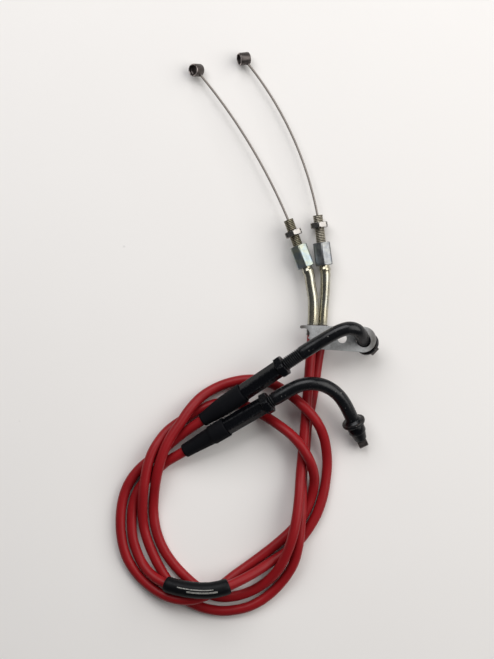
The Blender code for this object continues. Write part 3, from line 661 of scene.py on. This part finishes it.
def silver_ink():
    """Worn silver ink."""
    f = Finish("silver_ink_line", metallic=0.3)
    t = f.tree
    worn = band(t, noise(t, f.object, 1500.0, 5.0, 0.7), 0.40, 0.62)
    colour = mixed(t, worn, (0.16, 0.16, 0.15), (0.48, 0.47, 0.43))
    return f.set(colour, band(t, worn, 0.0, 1.0, 0.35, 0.5), bumped(t, worn, 0.1, 0.0001))


def nylon():
    """Natural nylon liner."""
    f = Finish("nylon_liner", specular=0.45)
    t = f.tree
    colour = mixed(t, noise(t, f.object, 400.0), (0.60, 0.585, 0.53), (0.72, 0.705, 0.65))
    return f.set(colour, 0.48, bumped(t, noise(t, f.object, 1500.0), 0.1, 0.0001))


def table_top():
    """The pale table top: matt, with a hardly visible grain and a few grey specks."""
    f = Finish("table_top", specular=0.25)
    t = f.tree
    tone = mixed(t, noise(t, f.object, 5.0, 3.0), (0.83, 0.802, 0.776), (0.87, 0.848, 0.822))
    specks = band(t, noise(t, f.object, 95.0, 2.0, 0.3), 0.80, 0.83, 0.0, 0.35)
    colour = mixed(t, specks, tone, (0.35, 0.33, 0.33))
    rough = band(t, noise(t, f.object, 60.0), 0.3, 0.7, 0.55, 0.68)
    return f.set(colour, rough, bumped(t, noise(t, f.object, 900.0, 4.0), 0.03, 0.0002))


FINISHES = {
    "red_pvc": red_pvc(),
    "black_rubber": black_rubber(),
    "black_oxide": black_oxide(),
    "black_paint": black_paint(),
    "black_thread": black_thread(),
    "zinc_plate": zinc("bright_zinc", (0.43, 0.425, 0.37), (0.46, 0.425, 0.315)),
    "nut_zinc": zinc("nut_zinc", (0.30, 0.285, 0.275), (0.35, 0.33, 0.30)),
    "dull_zinc": dull_zinc(),
    "steel_wire": steel_wire(),
    "dark_steel": dark_steel(),
    "white_liner": nylon(),
    "push_hex_zinc": blue_zinc("blue_white_zinc", 0.0, (0.29, 0.35, 0.37), (0.40, 0.42, 0.33),
                               (0.27, 0.33, 0.42)),
    # The pull's hexagon: a darker, greyer copy with 0.2 more dark stain, painted shade for its dimmer faces.
    "pull_hex_zinc": blue_zinc("grey_white_zinc", 0.2, (0.27, 0.28, 0.30), (0.36, 0.365, 0.345),
                               (0.22, 0.24, 0.28)),
    "pull_thread_zinc": thread_zinc("tan_thread_zinc", (0.36, 0.33, 0.26), (0.54, 0.49, 0.40)),
    "push_thread_zinc": thread_zinc("olive_thread_zinc", (0.24, 0.225, 0.155), (0.36, 0.31, 0.225)),
    "plate_zinc": plate_zinc(),
    "marker": sleeve_rubber(),
    "silver_ink": silver_ink(),
}


# ---------------------------------------------------------------- mesh kit


def placed(name, data, finish, matrix, body, node_name=None, slot=None):
    """One piece of the visual model, riding on its body and standing for its CAD node."""
    piece = bpy.data.objects.new(name, data)
    bpy.context.scene.collection.objects.link(piece)
    data.materials.append(FINISHES[finish])
    piece.matrix_world = matrix
    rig.ride(piece, body)
    if node_name:
        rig.replaces(piece, node_name)
    if slot:
        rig.slot(piece, slot)
    return piece


def skin(name, rings, wear_and_painted_light=None, closed=False, sharp=30.0):
    """A mesh over rings of points in millimetres, with u along it in centimetres and v round it."""
    mesh = bpy.data.meshes.new(name)
    shape = bmesh.new()
    uv = shape.loops.layers.uv.new("UVMap")
    # wear mask per vertex: real wear, and also thread depth and rim marks that carry painted shade and highlight
    worn = shape.verts.layers.float.new("wear_and_painted_light")
    loops = []
    for i, ring in enumerate(rings):
        loop = []
        for k, point in enumerate(ring):
            vert = shape.verts.new(Vector(point) * MM)
            vert[worn] = wear_and_painted_light(i, k) if wear_and_painted_light else 0.0
            loop.append(vert)
        loops.append(loop)
    middles = [sum((Vector(p) for p in ring), Vector()) / len(ring) for ring in rings]
    along = [length / 10 for length in travelled(middles)]
    pairs = [(i, i + 1) for i in range(len(loops) - 1)]
    if closed:
        pairs.append((len(loops) - 1, 0))
    else:
        shape.faces.new(loops[0])
        shape.faces.new(loops[-1])
    sides = len(loops[0])
    for low, high in pairs:
        for k in range(sides):
            face = shape.faces.new((loops[low][k], loops[low][(k + 1) % sides],
                                    loops[high][(k + 1) % sides], loops[high][k]))
            corners = ((low, k), (low, k + 1), (high, k + 1), (high, k))
            for loop, (i, j) in zip(face.loops, corners):
                loop[uv].uv = (along[i], j / sides)
    bmesh.ops.recalc_face_normals(shape, faces=shape.faces)
    shape.to_mesh(mesh)
    shape.free()
    mesh.shade_smooth()
    mesh.set_sharp_from_angle(angle=math.radians(sharp))
    return mesh


def ring_at(height, radius, sides, flats=0.0):
    """One ring of a turned part; flats trims it to a hexagon with a corner towards local +X."""
    ring = []
    for k in range(sides):
        angle = 2 * math.pi * k / sides
        r = radius
        if flats:
            corner = angle % (math.pi / 3) - math.pi / 6
            r = min(radius, flats / 2 / math.cos(corner))
        ring.append((r * math.cos(angle), r * math.sin(angle), height))
    return ring


def turned(name, outline, sides=48, closed=True, sharp=30.0):
    """A turned or hexagonal part from (height, radius[, flats]) rows; its corners count as worn, and the nipples'
    marked rims take a painted highlight.
    """
    rings = [ring_at(row[0], row[1], sides, row[2] if len(row) > 2 else 0.0) for row in outline]

    def wear_and_painted_light(i, k):
        row = outline[i]
        if len(row) < 3:
            return 0.0
        angle = 2 * math.pi * k / sides % (math.pi / 3) - math.pi / 6
        return 1.0 if row[1] - row[2] / 2 / math.cos(angle) < 0.12 else 0.0

    return skin(name, rings, wear_and_painted_light, closed, sharp)


def chamfered_hex(low, high, flats, chamfer):
    """Outline rows of a hexagon's outside with turned chamfers and slightly blunt corners."""
    corner = flats / math.sqrt(3) - 0.12
    return [
        (low, corner - chamfer, flats), (low + chamfer * 0.28, corner - chamfer * 0.45, flats),
        (low + chamfer * 0.65, corner, flats), (high - chamfer * 0.65, corner, flats),
        (high - chamfer * 0.28, corner - chamfer * 0.45, flats), (high, corner - chamfer, flats),
    ]


def helical(low, high, crest, root, pitch, sides=40):
    """Rings of a right-handed screw thread that fades out over its last turn."""
    count = int((high - low) / pitch * 8)
    rings, depths = [], []
    for i in range(count + 1):
        z = low + (high - low) * i / count
        fade = min(1.0, (high - z) / pitch, (z - low) / pitch * 2)
        ring, deep = [], []
        for k in range(sides):
            turn = k / sides
            wave = abs(2 * ((z / pitch - turn) % 1.0) - 1)
            height = min(1.0, max(0.0, 1.45 * wave - 0.2))
            r = root + (crest - root) * (1 - (1 - height) * fade)
            angle = 2 * math.pi * turn
            ring.append((r * math.cos(angle), r * math.sin(angle), z))
            deep.append(1 - height)
        rings.append(ring)
        depths.append(deep)
    return rings, depths


def swept_rings(path, radius, sides, twist=None):
    """Rings of a tube along a path; radius(distance, angle) gives its surface."""
    tangent = (path[1] - path[0]).normalized()
    side = tangent.orthogonal().normalized()
    rings = []
    for i, (point, distance) in enumerate(zip(path, travelled(path))):
        tangent = (path[min(len(path) - 1, i + 1)] - path[max(0, i - 1)]).normalized()
        side = (side - side.dot(tangent) * tangent).normalized()
        across = tangent.cross(side)
        turn = twist * distance if twist else 0.0
        ring = []
        for k in range(sides):
            angle = 2 * math.pi * k / sides
            r = radius(distance, angle)
            ring.append(point + r * (side * math.cos(angle + turn) + across * math.sin(angle + turn)))
        rings.append(ring)
    return rings


def shifted(rings, origin):
    return [[Vector(p) - origin for p in ring] for ring in rings]


# ---------------------------------------------------------------- sheaths


def sheath_path(name, step):
    """The sheath from the crimp to its end inside the ferrule."""
    fit = Fitting(name)
    bent = smooth_path(CABLES[name]["route"] + [fit.at(STRAIGHT_FROM - 5), fit.at(STRAIGHT_FROM)], step)
    return even_steps(bent + [fit.at(8), fit.at(SHEATH_END)], step)


def stretch(path, start, end):
    """The part of a polyline between two distances along it."""
    kept, gone = [], 0.0
    for a, b in zip(path, path[1:]):
        length = (b - a).length
        for wanted in (start, end):
            if gone < wanted <= gone + length:
                kept.append(a.lerp(b, (wanted - gone) / length))
        gone += length
        if start < gone < end:
            kept.append(b)
    return kept


def sheath(name):
    """The PVC-coated casing as one tube, with its path and real length for declaring it."""
    path = sheath_path(name, 2.0)
    origin = path[0]
    rings = swept_rings(path, lambda s, a: SHEATH_D / 2, SHEATH_SIDES)
    mesh = skin(name + "_sheath_cover", shifted(rings, origin))
    piece = placed(name + "_sheath_cover", mesh, "red_pvc", Matrix.Translation(world(origin)),
                   "casing", name + "_sheath", "red_pvc")
    return piece, [world(p) for p in path], travelled(path)[-1] * MM


def marker_sleeve():
    """The loose tube on the push sheath: rolled ends, fine ribs, and two plain pale lines."""
    path = stretch(sheath_path("push", 1.0), MARKER_START, MARKER_START + MARKER_LENGTH)
    origin = path[0]
    length = travelled(path)[-1]

    def radius(s, angle):
        end = min(s, length - s)
        return MARKER_R - 0.35 * math.exp(-end / 0.5) + 0.04 * math.sin(s * 5.2)

    outside = swept_rings(path, radius, 48)
    inside = swept_rings(path, lambda s, a: MARKER_BORE_R, 48)
    mesh = skin("marker_tube", shifted(outside + inside[::-1], origin), closed=True, sharp=50.0)
    tube = placed("marker_tube", mesh, "marker", Matrix.Translation(world(origin)), "casing",
                  "marker_sleeve", "black_rubber")
    return [tube] + [printed_line(i, path, *line) for i, line in enumerate(MARKER_LINES)]


def printed_line(number, path, start, end, low, high):
    """A plain silver line along the sleeve, between two heights on its upper side in degrees."""
    rings = []
    run = stretch(path, start, end)
    for i, point in enumerate(run):
        tangent = (run[min(len(run) - 1, i + 1)] - run[max(0, i - 1)]).normalized()
        across = tangent.cross(UP).normalized()
        rise = across.cross(tangent)
        ring = []
        for r, degrees in ((LINE_FOOT_R, low), (LINE_FOOT_R, high), (LINE_TOP_R, high), (LINE_TOP_R, low)):
            angle = math.radians(degrees)
            ring.append(point - run[0] + r * (rise * math.cos(angle) + across * math.sin(angle)))
        rings.append(ring)
    name = f"marker_line_{number + 1}"
    return placed(name, skin(name, rings), "silver_ink", Matrix.Translation(world(run[0])), "casing",
                  None, "black_rubber")


# ---------------------------------------------------------------- engine end


def engine_wire(name, fit):
    """Six strands twisted round a core, bent to the arc that it slides along."""
    end = CABLES[name]["wire_length"] - 1.2
    count = 330
    path = [fit.arc_point(-WIRE_INSIDE + (end + WIRE_INSIDE) * i / count) for i in range(count + 1)]
    sides = 24

    def radius(s, angle):
        return WIRE_R * (0.86 + 0.14 * abs(math.cos(3 * angle)))

    rings = swept_rings(path, radius, sides, twist=0.85)
    mesh = skin(name + "_strand", shifted(rings, path[0]),
                wear_and_painted_light=lambda i, k: 1.0 - abs(math.cos(6 * math.pi * k / sides)), sharp=80.0)
    placed(name + "_strand", mesh, "steel_wire", Matrix.Translation(world(path[0])),
           name + "_wire_end", name + "_engine_wire", "steel_wire")


def engine_nipple(name, fit):
    """The barrel nipple with recessed ends and a soldered boss where the wire enters."""
    cable = CABLES[name]
    half = NIPPLE_LENGTH / 2
    # marks the outer rims for the painted highlight of the nipple steel
    bright = 2 * NIPPLE_R
    outer = [(half, NIPPLE_R - 0.35, bright), (half - 0.3, NIPPLE_R - 0.08), (half - 0.5, NIPPLE_R)]
    recess = [(half - 1.9, NIPPLE_R - 1.45), (half - 1.5, NIPPLE_R - 1.0), (half - 0.15, NIPPLE_R - 0.8),
              (half, NIPPLE_R - 0.65, bright)]
    one_end = recess + outer
    outline = [(-row[0], *row[1:]) for row in one_end] + one_end[::-1]
    end = cable["wire_length"]
    mesh = turned(name + "_barrel_nipple", outline, closed=False)
    placed(name + "_barrel_nipple", mesh, "dark_steel",
           frame_at(world(fit.arc_point(end)), cable["nipple_axis"]),
           name + "_wire_end", name + "_engine_nipple", "dark_steel")
    turn = fit.arc_turn(end)
    heading = fit.along * math.cos(turn) + fit.inwards * math.sin(turn)
    boss = turned(name + "_nipple_boss", [(-4.3, 0.75), (-4.2, 1.05), (-3.6, 1.35), (-2.9, 1.5)], 24, False)
    placed(name + "_nipple_boss", boss, "dark_steel", frame_at(world(fit.arc_point(end)), heading, RIGHT),
           name + "_wire_end", None, "dark_steel")


def adjuster(name, fit):
    """Hexagonal body with a real M6 thread, and its lock nut."""
    seat = frame_at(world(fit.base), fit.along)
    outline = chamfered_hex(0.0, ADJUSTER_HEX, ADJUSTER_FLATS, 0.6)
    outline += [(ADJUSTER_HEX, 3.2), (ADJUSTER_HEX - 2.0, 2.4), (ADJUSTER_HEX - 2.0, ADJUSTER_BORE_R),
                (ADJUSTER_SOCKET, ADJUSTER_BORE_R), (ADJUSTER_SOCKET, PIPE_R + GAP), (0.0, PIPE_R + GAP)]
    placed(name + "_adjuster_hex", turned(name + "_adjuster_hex", outline, 96), name + "_hex_zinc", seat,
           name + "_adjuster", name + "_adjuster_screw", "zinc_plate")
    start = ADJUSTER_HEX - 1.5
    rings, depths = helical(start, ADJUSTER_LENGTH, M6_R, M6_ROOT_R, M6_PITCH)
    for height in (ADJUSTER_LENGTH, ADJUSTER_LENGTH - 12.0, start):
        rings.append(ring_at(height, ADJUSTER_BORE_R, 40))
        depths.append([0.4] * 40)
    # the thread's depths go into the wear mask, for painted shade in the roots
    mesh = skin(name + "_adjuster_thread", rings, lambda i, k: depths[i][k], True, 60.0)
    placed(name + "_adjuster_thread", mesh, name + "_thread_zinc", seat, name + "_adjuster", None,
           "zinc_plate")
    half = M6_NUT_HEIGHT / 2
    outline = chamfered_hex(-half, half, M6_NUT_FLATS, 0.75)
    outline += [(half, 3.5), (half - 0.4, 3.1), (-half + 0.4, 3.1), (-half, 3.5)]
    where = frame_at(world(fit.base + fit.along * CABLES[name]["nut_at"]), fit.along)
    placed(name + "_small_nut", turned(name + "_small_nut", outline, 72), "nut_zinc", where,
           name + "_locknut_m6", name + "_adjuster_nut", "zinc_plate")


def bent_pipe(name, fit):
    """The swaged pipe with a rolled bead under the adjuster, hollow for the liner inside it."""
    start = Vector(CABLES[name]["route"][0]) + Vector((0, GAP + 0.1, 0))
    top = fit.base + fit.along * (ADJUSTER_SOCKET - GAP)
    path = smooth_path([start, *[Vector(p) for p in CABLES[name]["pipe"]],
                        fit.base - fit.along * 5, fit.base, top], 0.6)
    length = travelled(path)[-1]

    def radius(s, angle):
        bead = (s - (length - 5.3)) / 1.0
        return PIPE_R + 0.5 * math.exp(-bead * bead) + 0.02 * math.sin(3 * angle + s * 0.15)

    outside = swept_rings(path, radius, 40)
    inside = swept_rings(path, lambda s, a: PIPE_R - PIPE_WALL, 40)
    mesh = skin(name + "_pipe", shifted(outside + inside[::-1], path[0]), closed=True, sharp=50.0)
    placed(name + "_pipe", mesh, "zinc_plate", Matrix.Translation(world(path[0])), "casing",
           name + "_bent_pipe", "zinc_plate")


def crimp(name):
    """The crimp sleeve with two pressed grooves."""
    route = CABLES[name]["route"]
    back = (Vector(route[0]) - Vector(route[1])).normalized()
    rows = []
    for i in range(33):
        z = CRIMP_HALF * (i / 16 - 1)
        groove = math.exp(-((abs(z) - 1.4) / 0.35) ** 2)
        rows.append((z, CRIMP_R - 0.16 * groove - (0.12 if i in (0, 32) else 0.0)))
    rows += [(CRIMP_HALF, CRIMP_BORE_R), (-CRIMP_HALF, CRIMP_BORE_R)]
    # Drawn in the dark nipple steel, not its own dull zinc: painted shade for the shadow under the plate.
    placed(name + "_crimp", turned(name + "_crimp", rows), "dark_steel",
           frame_at(world(route[0]), back), "casing", name + "_crimp_sleeve", "dull_zinc")


# ---------------------------------------------------------------- grip end


def boot(name, fit):
    """The moulded rubber boot: a cone, and a plain cuff over the hexagon."""
    outline = [
        (0.0, 3.6), (0.0, 3.85), (0.25, 4.05), (0.8, 4.18), (2.0, 4.24), *CABLES[name]["boot"], (29.3, 5.93),
        (29.8, 5.85), (BOOT_LENGTH, 5.72), (BOOT_LENGTH, 5.56), (19.6, 5.52), (19.0, 4.15), (12.2, 4.15),
        (11.6, 3.45), (0.2, 3.45),
    ]
    placed(name + "_rubber_boot", turned(name + "_rubber_boot", outline, 64, sharp=40.0), "black_rubber",
           frame_at(world(fit.at(0)), fit.grip), name + "_boot_cover", name + "_boot", "black_rubber")


def barrel(name, fit):
    """The long hexagonal barrel adjuster and its lock nut."""
    roll = CABLES[name]["barrel_roll"]
    where = frame_at(world(fit.at(0)), fit.grip, roll=roll)
    outline = chamfered_hex(BARREL_START, BARREL_END, BARREL_FLATS, 0.6)
    outline += [(BARREL_END, 4.42), (BARREL_END - 0.5, BARREL_BORE_R), (33.0, BARREL_BORE_R), (33.0, 1.7),
                (30.4, 1.7), (30.4, 4.15), (BARREL_START, 4.15)]
    placed(name + "_barrel_hex", turned(name + "_barrel_hex", outline, 96), "black_oxide", where,
           name + "_barrel_adjuster", name + "_barrel", "black_oxide")
    low = BARREL_END + GAP
    high = low + M8_NUT_HEIGHT
    outline = chamfered_hex(low, high, M8_NUT_FLATS, 0.9)
    outline += [(high, 4.6), (high - 0.4, 4.2), (low + 0.4, 4.2), (low, 4.6)]
    placed(name + "_large_nut", turned(name + "_large_nut", outline, 96), "black_oxide",
           frame_at(world(fit.at(0)), fit.grip, roll=roll + M8_NUT_ROLL), name + "_locknut_m8",
           name + "_barrel_nut", "black_oxide")


def elbow_thread(name, fit):
    """The M8 thread on the elbow's straight end."""
    thread = CABLES[name]["thread_end"]
    rings, depths = helical(THREAD_START, thread, M8_R, M8_ROOT_R, M8_PITCH, 48)
    rings += [ring_at(thread, ELBOW_BORE_R, 48), ring_at(THREAD_START, ELBOW_BORE_R, 48)]
    depths += [[1.0] * 48] * 2
    # the thread's depths go into the wear mask, for painted shade in the roots and a painted highlight on the crests
    mesh = skin(name + "_elbow_thread", rings, lambda i, k: depths[i][k], True, 60.0)
    placed(name + "_elbow_thread", mesh, "black_thread", frame_at(world(fit.at(0)), fit.grip),
           name + "_elbow_tube", None, "black_paint")


def elbow_pipe(name, fit):
    """The painted bent tube, a little slimmer towards its flange."""
    cable = CABLES[name]
    thread = cable["thread_end"]
    end_at = Vector(cable["end_at"])
    tail = [end_at, end_at + fit.end_axis * 3.5, fit.flange_at + fit.end_axis * 2.2]
    guide = [fit.at(THREAD_START), fit.at(THREAD_START + 12), fit.at(thread - 8), fit.at(thread)]
    whole = smooth_path(guide + [Vector(p) for p in cable["elbow"]] + tail, 0.7)
    path = [fit.at(thread - 0.4)] + [p for p in whole if (p - fit.at(0)).dot(fit.grip) > thread]

    def radius(s, angle):
        taper = 0.12 * min(1.0, max(0.0, (s - 6.0) / 8.0))
        return ELBOW_PIPE_R - 0.30 * math.exp(-s / 0.35) - taper

    outside = swept_rings(path, radius, 48)
    inside = swept_rings(path, lambda s, a: ELBOW_BORE_R, 48)
    mesh = skin(name + "_elbow_pipe", shifted(outside + inside[::-1], path[0]), closed=True, sharp=50.0)
    placed(name + "_elbow_pipe", mesh, "black_paint", Matrix.Translation(world(path[0])),
           name + "_elbow_tube", name + "_elbow", "black_paint")


def elbow_end(name, fit):
    """The flange with worn rims and a weld behind it, and the stepped end cap."""
    body = name + "_elbow_tube"
    flange = frame_at(world(fit.flange_at), fit.end_axis)
    worn = 2 * FLANGE_R
    half_rows = [(FLANGE_HALF, 4.3), (FLANGE_HALF, 6.5, worn), (0.85, 6.8, worn), (0.5, FLANGE_R)]
    rows = [(-row[0], *row[1:]) for row in half_rows] + half_rows[::-1]
    mesh = turned(name + "_collar", rows, 72)
    placed(name + "_collar", mesh, "black_paint", flange, body, name + "_elbow_flange", "black_paint")
    weld = [(-2.3, 4.12), (-1.9, 4.45), (-1.4, 4.95), (-1.02, 5.6), (-1.02, 4.15)]
    placed(name + "_collar_weld", turned(name + "_collar_weld", weld, 48), "black_paint", flange, body,
           None, "black_paint")
    low = FLANGE_HALF + GAP
    high = low + CABLES[name]["cap_length"]
    ring = (low + high) / 2
    rows = [(low, 4.5), (low, 4.95), (low + 0.3, 5.15), (ring - 0.3, 5.15), (ring, 5.0), (ring + 0.3, 4.6),
            (high - 0.9, 3.7), (high - 0.3, 3.5), (high, 3.2), (high, 1.3), (2.6, 1.2), (2.6, 4.32),
            (low, 4.32)]
    placed(name + "_end_cap", turned(name + "_end_cap", rows, 64, sharp=35.0), "black_oxide", flange, body,
           name + "_elbow_cap", "black_oxide")


def grip_end(name, fit):
    """The small nipple at the elbow's mouth, lying across it, with a recess in each end."""
    high = FLANGE_HALF + GAP + CABLES[name]["cap_length"]
    middle = fit.flange_at + fit.end_axis * (high + GAP + GRIP_NIPPLE_R)
    across = fit.end_axis.cross(UP).normalized()
    half = GRIP_NIPPLE_LENGTH / 2
    rows = [(-half + 0.7, 1.1), (-half + 0.5, 1.5), (-half, 1.7), (-half, 2.2), (-half + 0.35, GRIP_NIPPLE_R),
            (half - 0.35, GRIP_NIPPLE_R), (half, 2.2), (half, 1.7), (half - 0.5, 1.5), (half - 0.7, 1.1)]
    placed(name + "_small_nipple", turned(name + "_small_nipple", rows, 48, False), "dark_steel",
           frame_at(world(middle), across), name + "_grip_end", name + "_grip_nipple", "zinc_plate")


def cad_finishes():
    """Better materials on the CAD nodes that are shown as they are."""
    for node_name, finish in (("pipe_liner", "white_liner"), ("grip_ferrule", "dull_zinc"),
                              ("grip_wire", "steel_wire")):
        for name in CABLES:
            shown = frame["nodes"][name + "_" + node_name]
            shown.data.materials.clear()
            shown.data.materials.append(FINISHES[finish])


# ---------------------------------------------------------------- guide plate


def plate_outline():
    """The plate seen square on, from the ring's centre: hook at the left, ring at the right."""
    points = []
    for i in range(49):
        angle = math.radians(105 - 210 * i / 48)
        points.append((PLATE_RING_R * math.cos(angle), PLATE_RING_R * math.sin(angle)))
    points += [(-24.5, -5.8)]
    for i in range(25):
        angle = math.radians(-50 + 145 * i / 24)
        points.append((NOTCH_AT[0] + NOTCH_R * math.cos(angle), NOTCH_AT[1] + NOTCH_R * math.sin(angle)))
    points += [(-36.6, 6.5), (-37.3, 6.9), (-37.4, 7.7), (-36.9, 8.3), (-35.5, 8.5)]
    return points


def oval(centre, length, width, lean=0.0, count=48):
    """The outline of a hole that is longer along its lean, an angle from the plate's x."""
    along, across = math.cos(math.radians(lean)), math.sin(math.radians(lean))
    points = []
    for i in range(count):
        x = length / 2 * math.cos(2 * math.pi * i / count)
        y = width / 2 * math.sin(2 * math.pi * i / count)
        points.append((centre[0] + x * along - y * across, centre[1] + x * across + y * along))
    return points


def guide_plate():
    """The stamped plate, its edges broken, with the ring's hole and the screw hole through it."""
    swivel = joints["plate_swivel"]
    break_edge = 0.12
    curve = bpy.data.curves.new("stamped_plate", "CURVE")
    curve.dimensions = "2D"
    curve.fill_mode = "BOTH"
    curve.extrude = (PLATE_THICK / 2 - break_edge) * MM
    curve.bevel_depth = break_edge * MM
    curve.bevel_resolution = 2
    curve.offset = -break_edge * MM
    for outline in (plate_outline(), oval((0, 0), *RING_HOLE), oval((-12.4, 0.6), 5.5, 5.5)):
        spline = curve.splines.new("POLY")
        spline.points.add(len(outline) - 1)
        for slot, (x, y) in zip(spline.points, outline):
            slot.co = (x * MM, y * MM, 0.0, 1.0)
        spline.use_cyclic_u = True
    placed("stamped_plate", curve, "plate_zinc", frame_at(swivel["pos_m"], swivel["axis"], RIGHT),
           "plate", "guide_plate", "dull_zinc")


# ---------------------------------------------------------------- studio


def camera():
    """Straight above the layout, level with the picture's centre."""
    data = bpy.data.cameras.new("camera")
    data.sensor_fit = "VERTICAL"
    data.angle = 2 * math.atan(VIEW_HEIGHT / 2 / CAMERA_OVER[2])
    data.clip_end = 20.0
    made = bpy.data.objects.new("camera", data)
    bpy.context.scene.collection.objects.link(made)
    made.location = world(CAMERA_OVER)
    bpy.context.scene.camera = made


def lamp(name, towards, distance, width, height, energy, colour=(1.0, 1.0, 1.0)):
    """A rectangular soft light that looks at the middle of the layout from a direction."""
    data = bpy.data.lights.new(name, "AREA")
    data.shape = "RECTANGLE"
    data.size = width
    data.size_y = height
    data.energy = energy
    data.color = colour
    made = bpy.data.objects.new(name, data)
    bpy.context.scene.collection.objects.link(made)
    middle = world((0.0, 0.0, 0.0))
    made.location = middle + Vector(towards).normalized() * distance
    made.rotation_euler = Vector(towards).to_track_quat("Z", "Y").to_euler()


def studio():
    """A pale table, a wide window at the right, a soft lamp behind the top edge and a dark room."""
    lamp("window", (0.76, 0.24, 0.72), 1.5, 1.6, 1.3, 19.4, (1.0, 0.99, 0.97))
    lamp("ceiling", (-0.20, 0.64, 0.74), 1.3, 1.1, 0.9, 11.9, (0.985, 0.985, 1.0))
    room = bpy.data.worlds.new("room")
    room.use_nodes = True
    room.node_tree.nodes["Background"].inputs["Color"].default_value = (0.92, 0.95, 1.0, 1.0)
    room.node_tree.nodes["Background"].inputs["Strength"].default_value = 0.09
    bpy.context.scene.world = room
    bpy.context.scene.view_settings.view_transform = "Standard"

    mesh = bpy.data.meshes.new("table")
    shape = bmesh.new()
    bmesh.ops.create_grid(shape, x_segments=8, y_segments=8, size=TABLE_HALF)
    shape.to_mesh(mesh)
    shape.free()
    mesh.materials.append(table_top())
    table = bpy.data.objects.new("table", mesh)
    bpy.context.scene.collection.objects.link(table)
    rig.stage(table)


def main():
    camera()
    studio()
    sleeve = marker_sleeve()
    for name in CABLES:
        fit = Fitting(name)
        piece, path, length = sheath(name)
        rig.cord(piece, exit=path[0], length=length, diameter=SHEATH_D * MM, far_end="object",
                stiffness="medium", lay="coiled", path=path, with_pieces=sleeve if name == "push" else [])
        engine_wire(name, fit)
        engine_nipple(name, fit)
        adjuster(name, fit)
        bent_pipe(name, fit)
        crimp(name)
        boot(name, fit)
        barrel(name, fit)
        elbow_thread(name, fit)
        elbow_pipe(name, fit)
        elbow_end(name, fit)
        grip_end(name, fit)
    guide_plate()
    cad_finishes()
    shown_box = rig.bounds()
    boxes = {"cad": [list(corner) for corner in cad_box], "visual": [list(corner) for corner in shown_box]}
    with open("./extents.json", "w") as out:
        json.dump(boxes, out)


main()
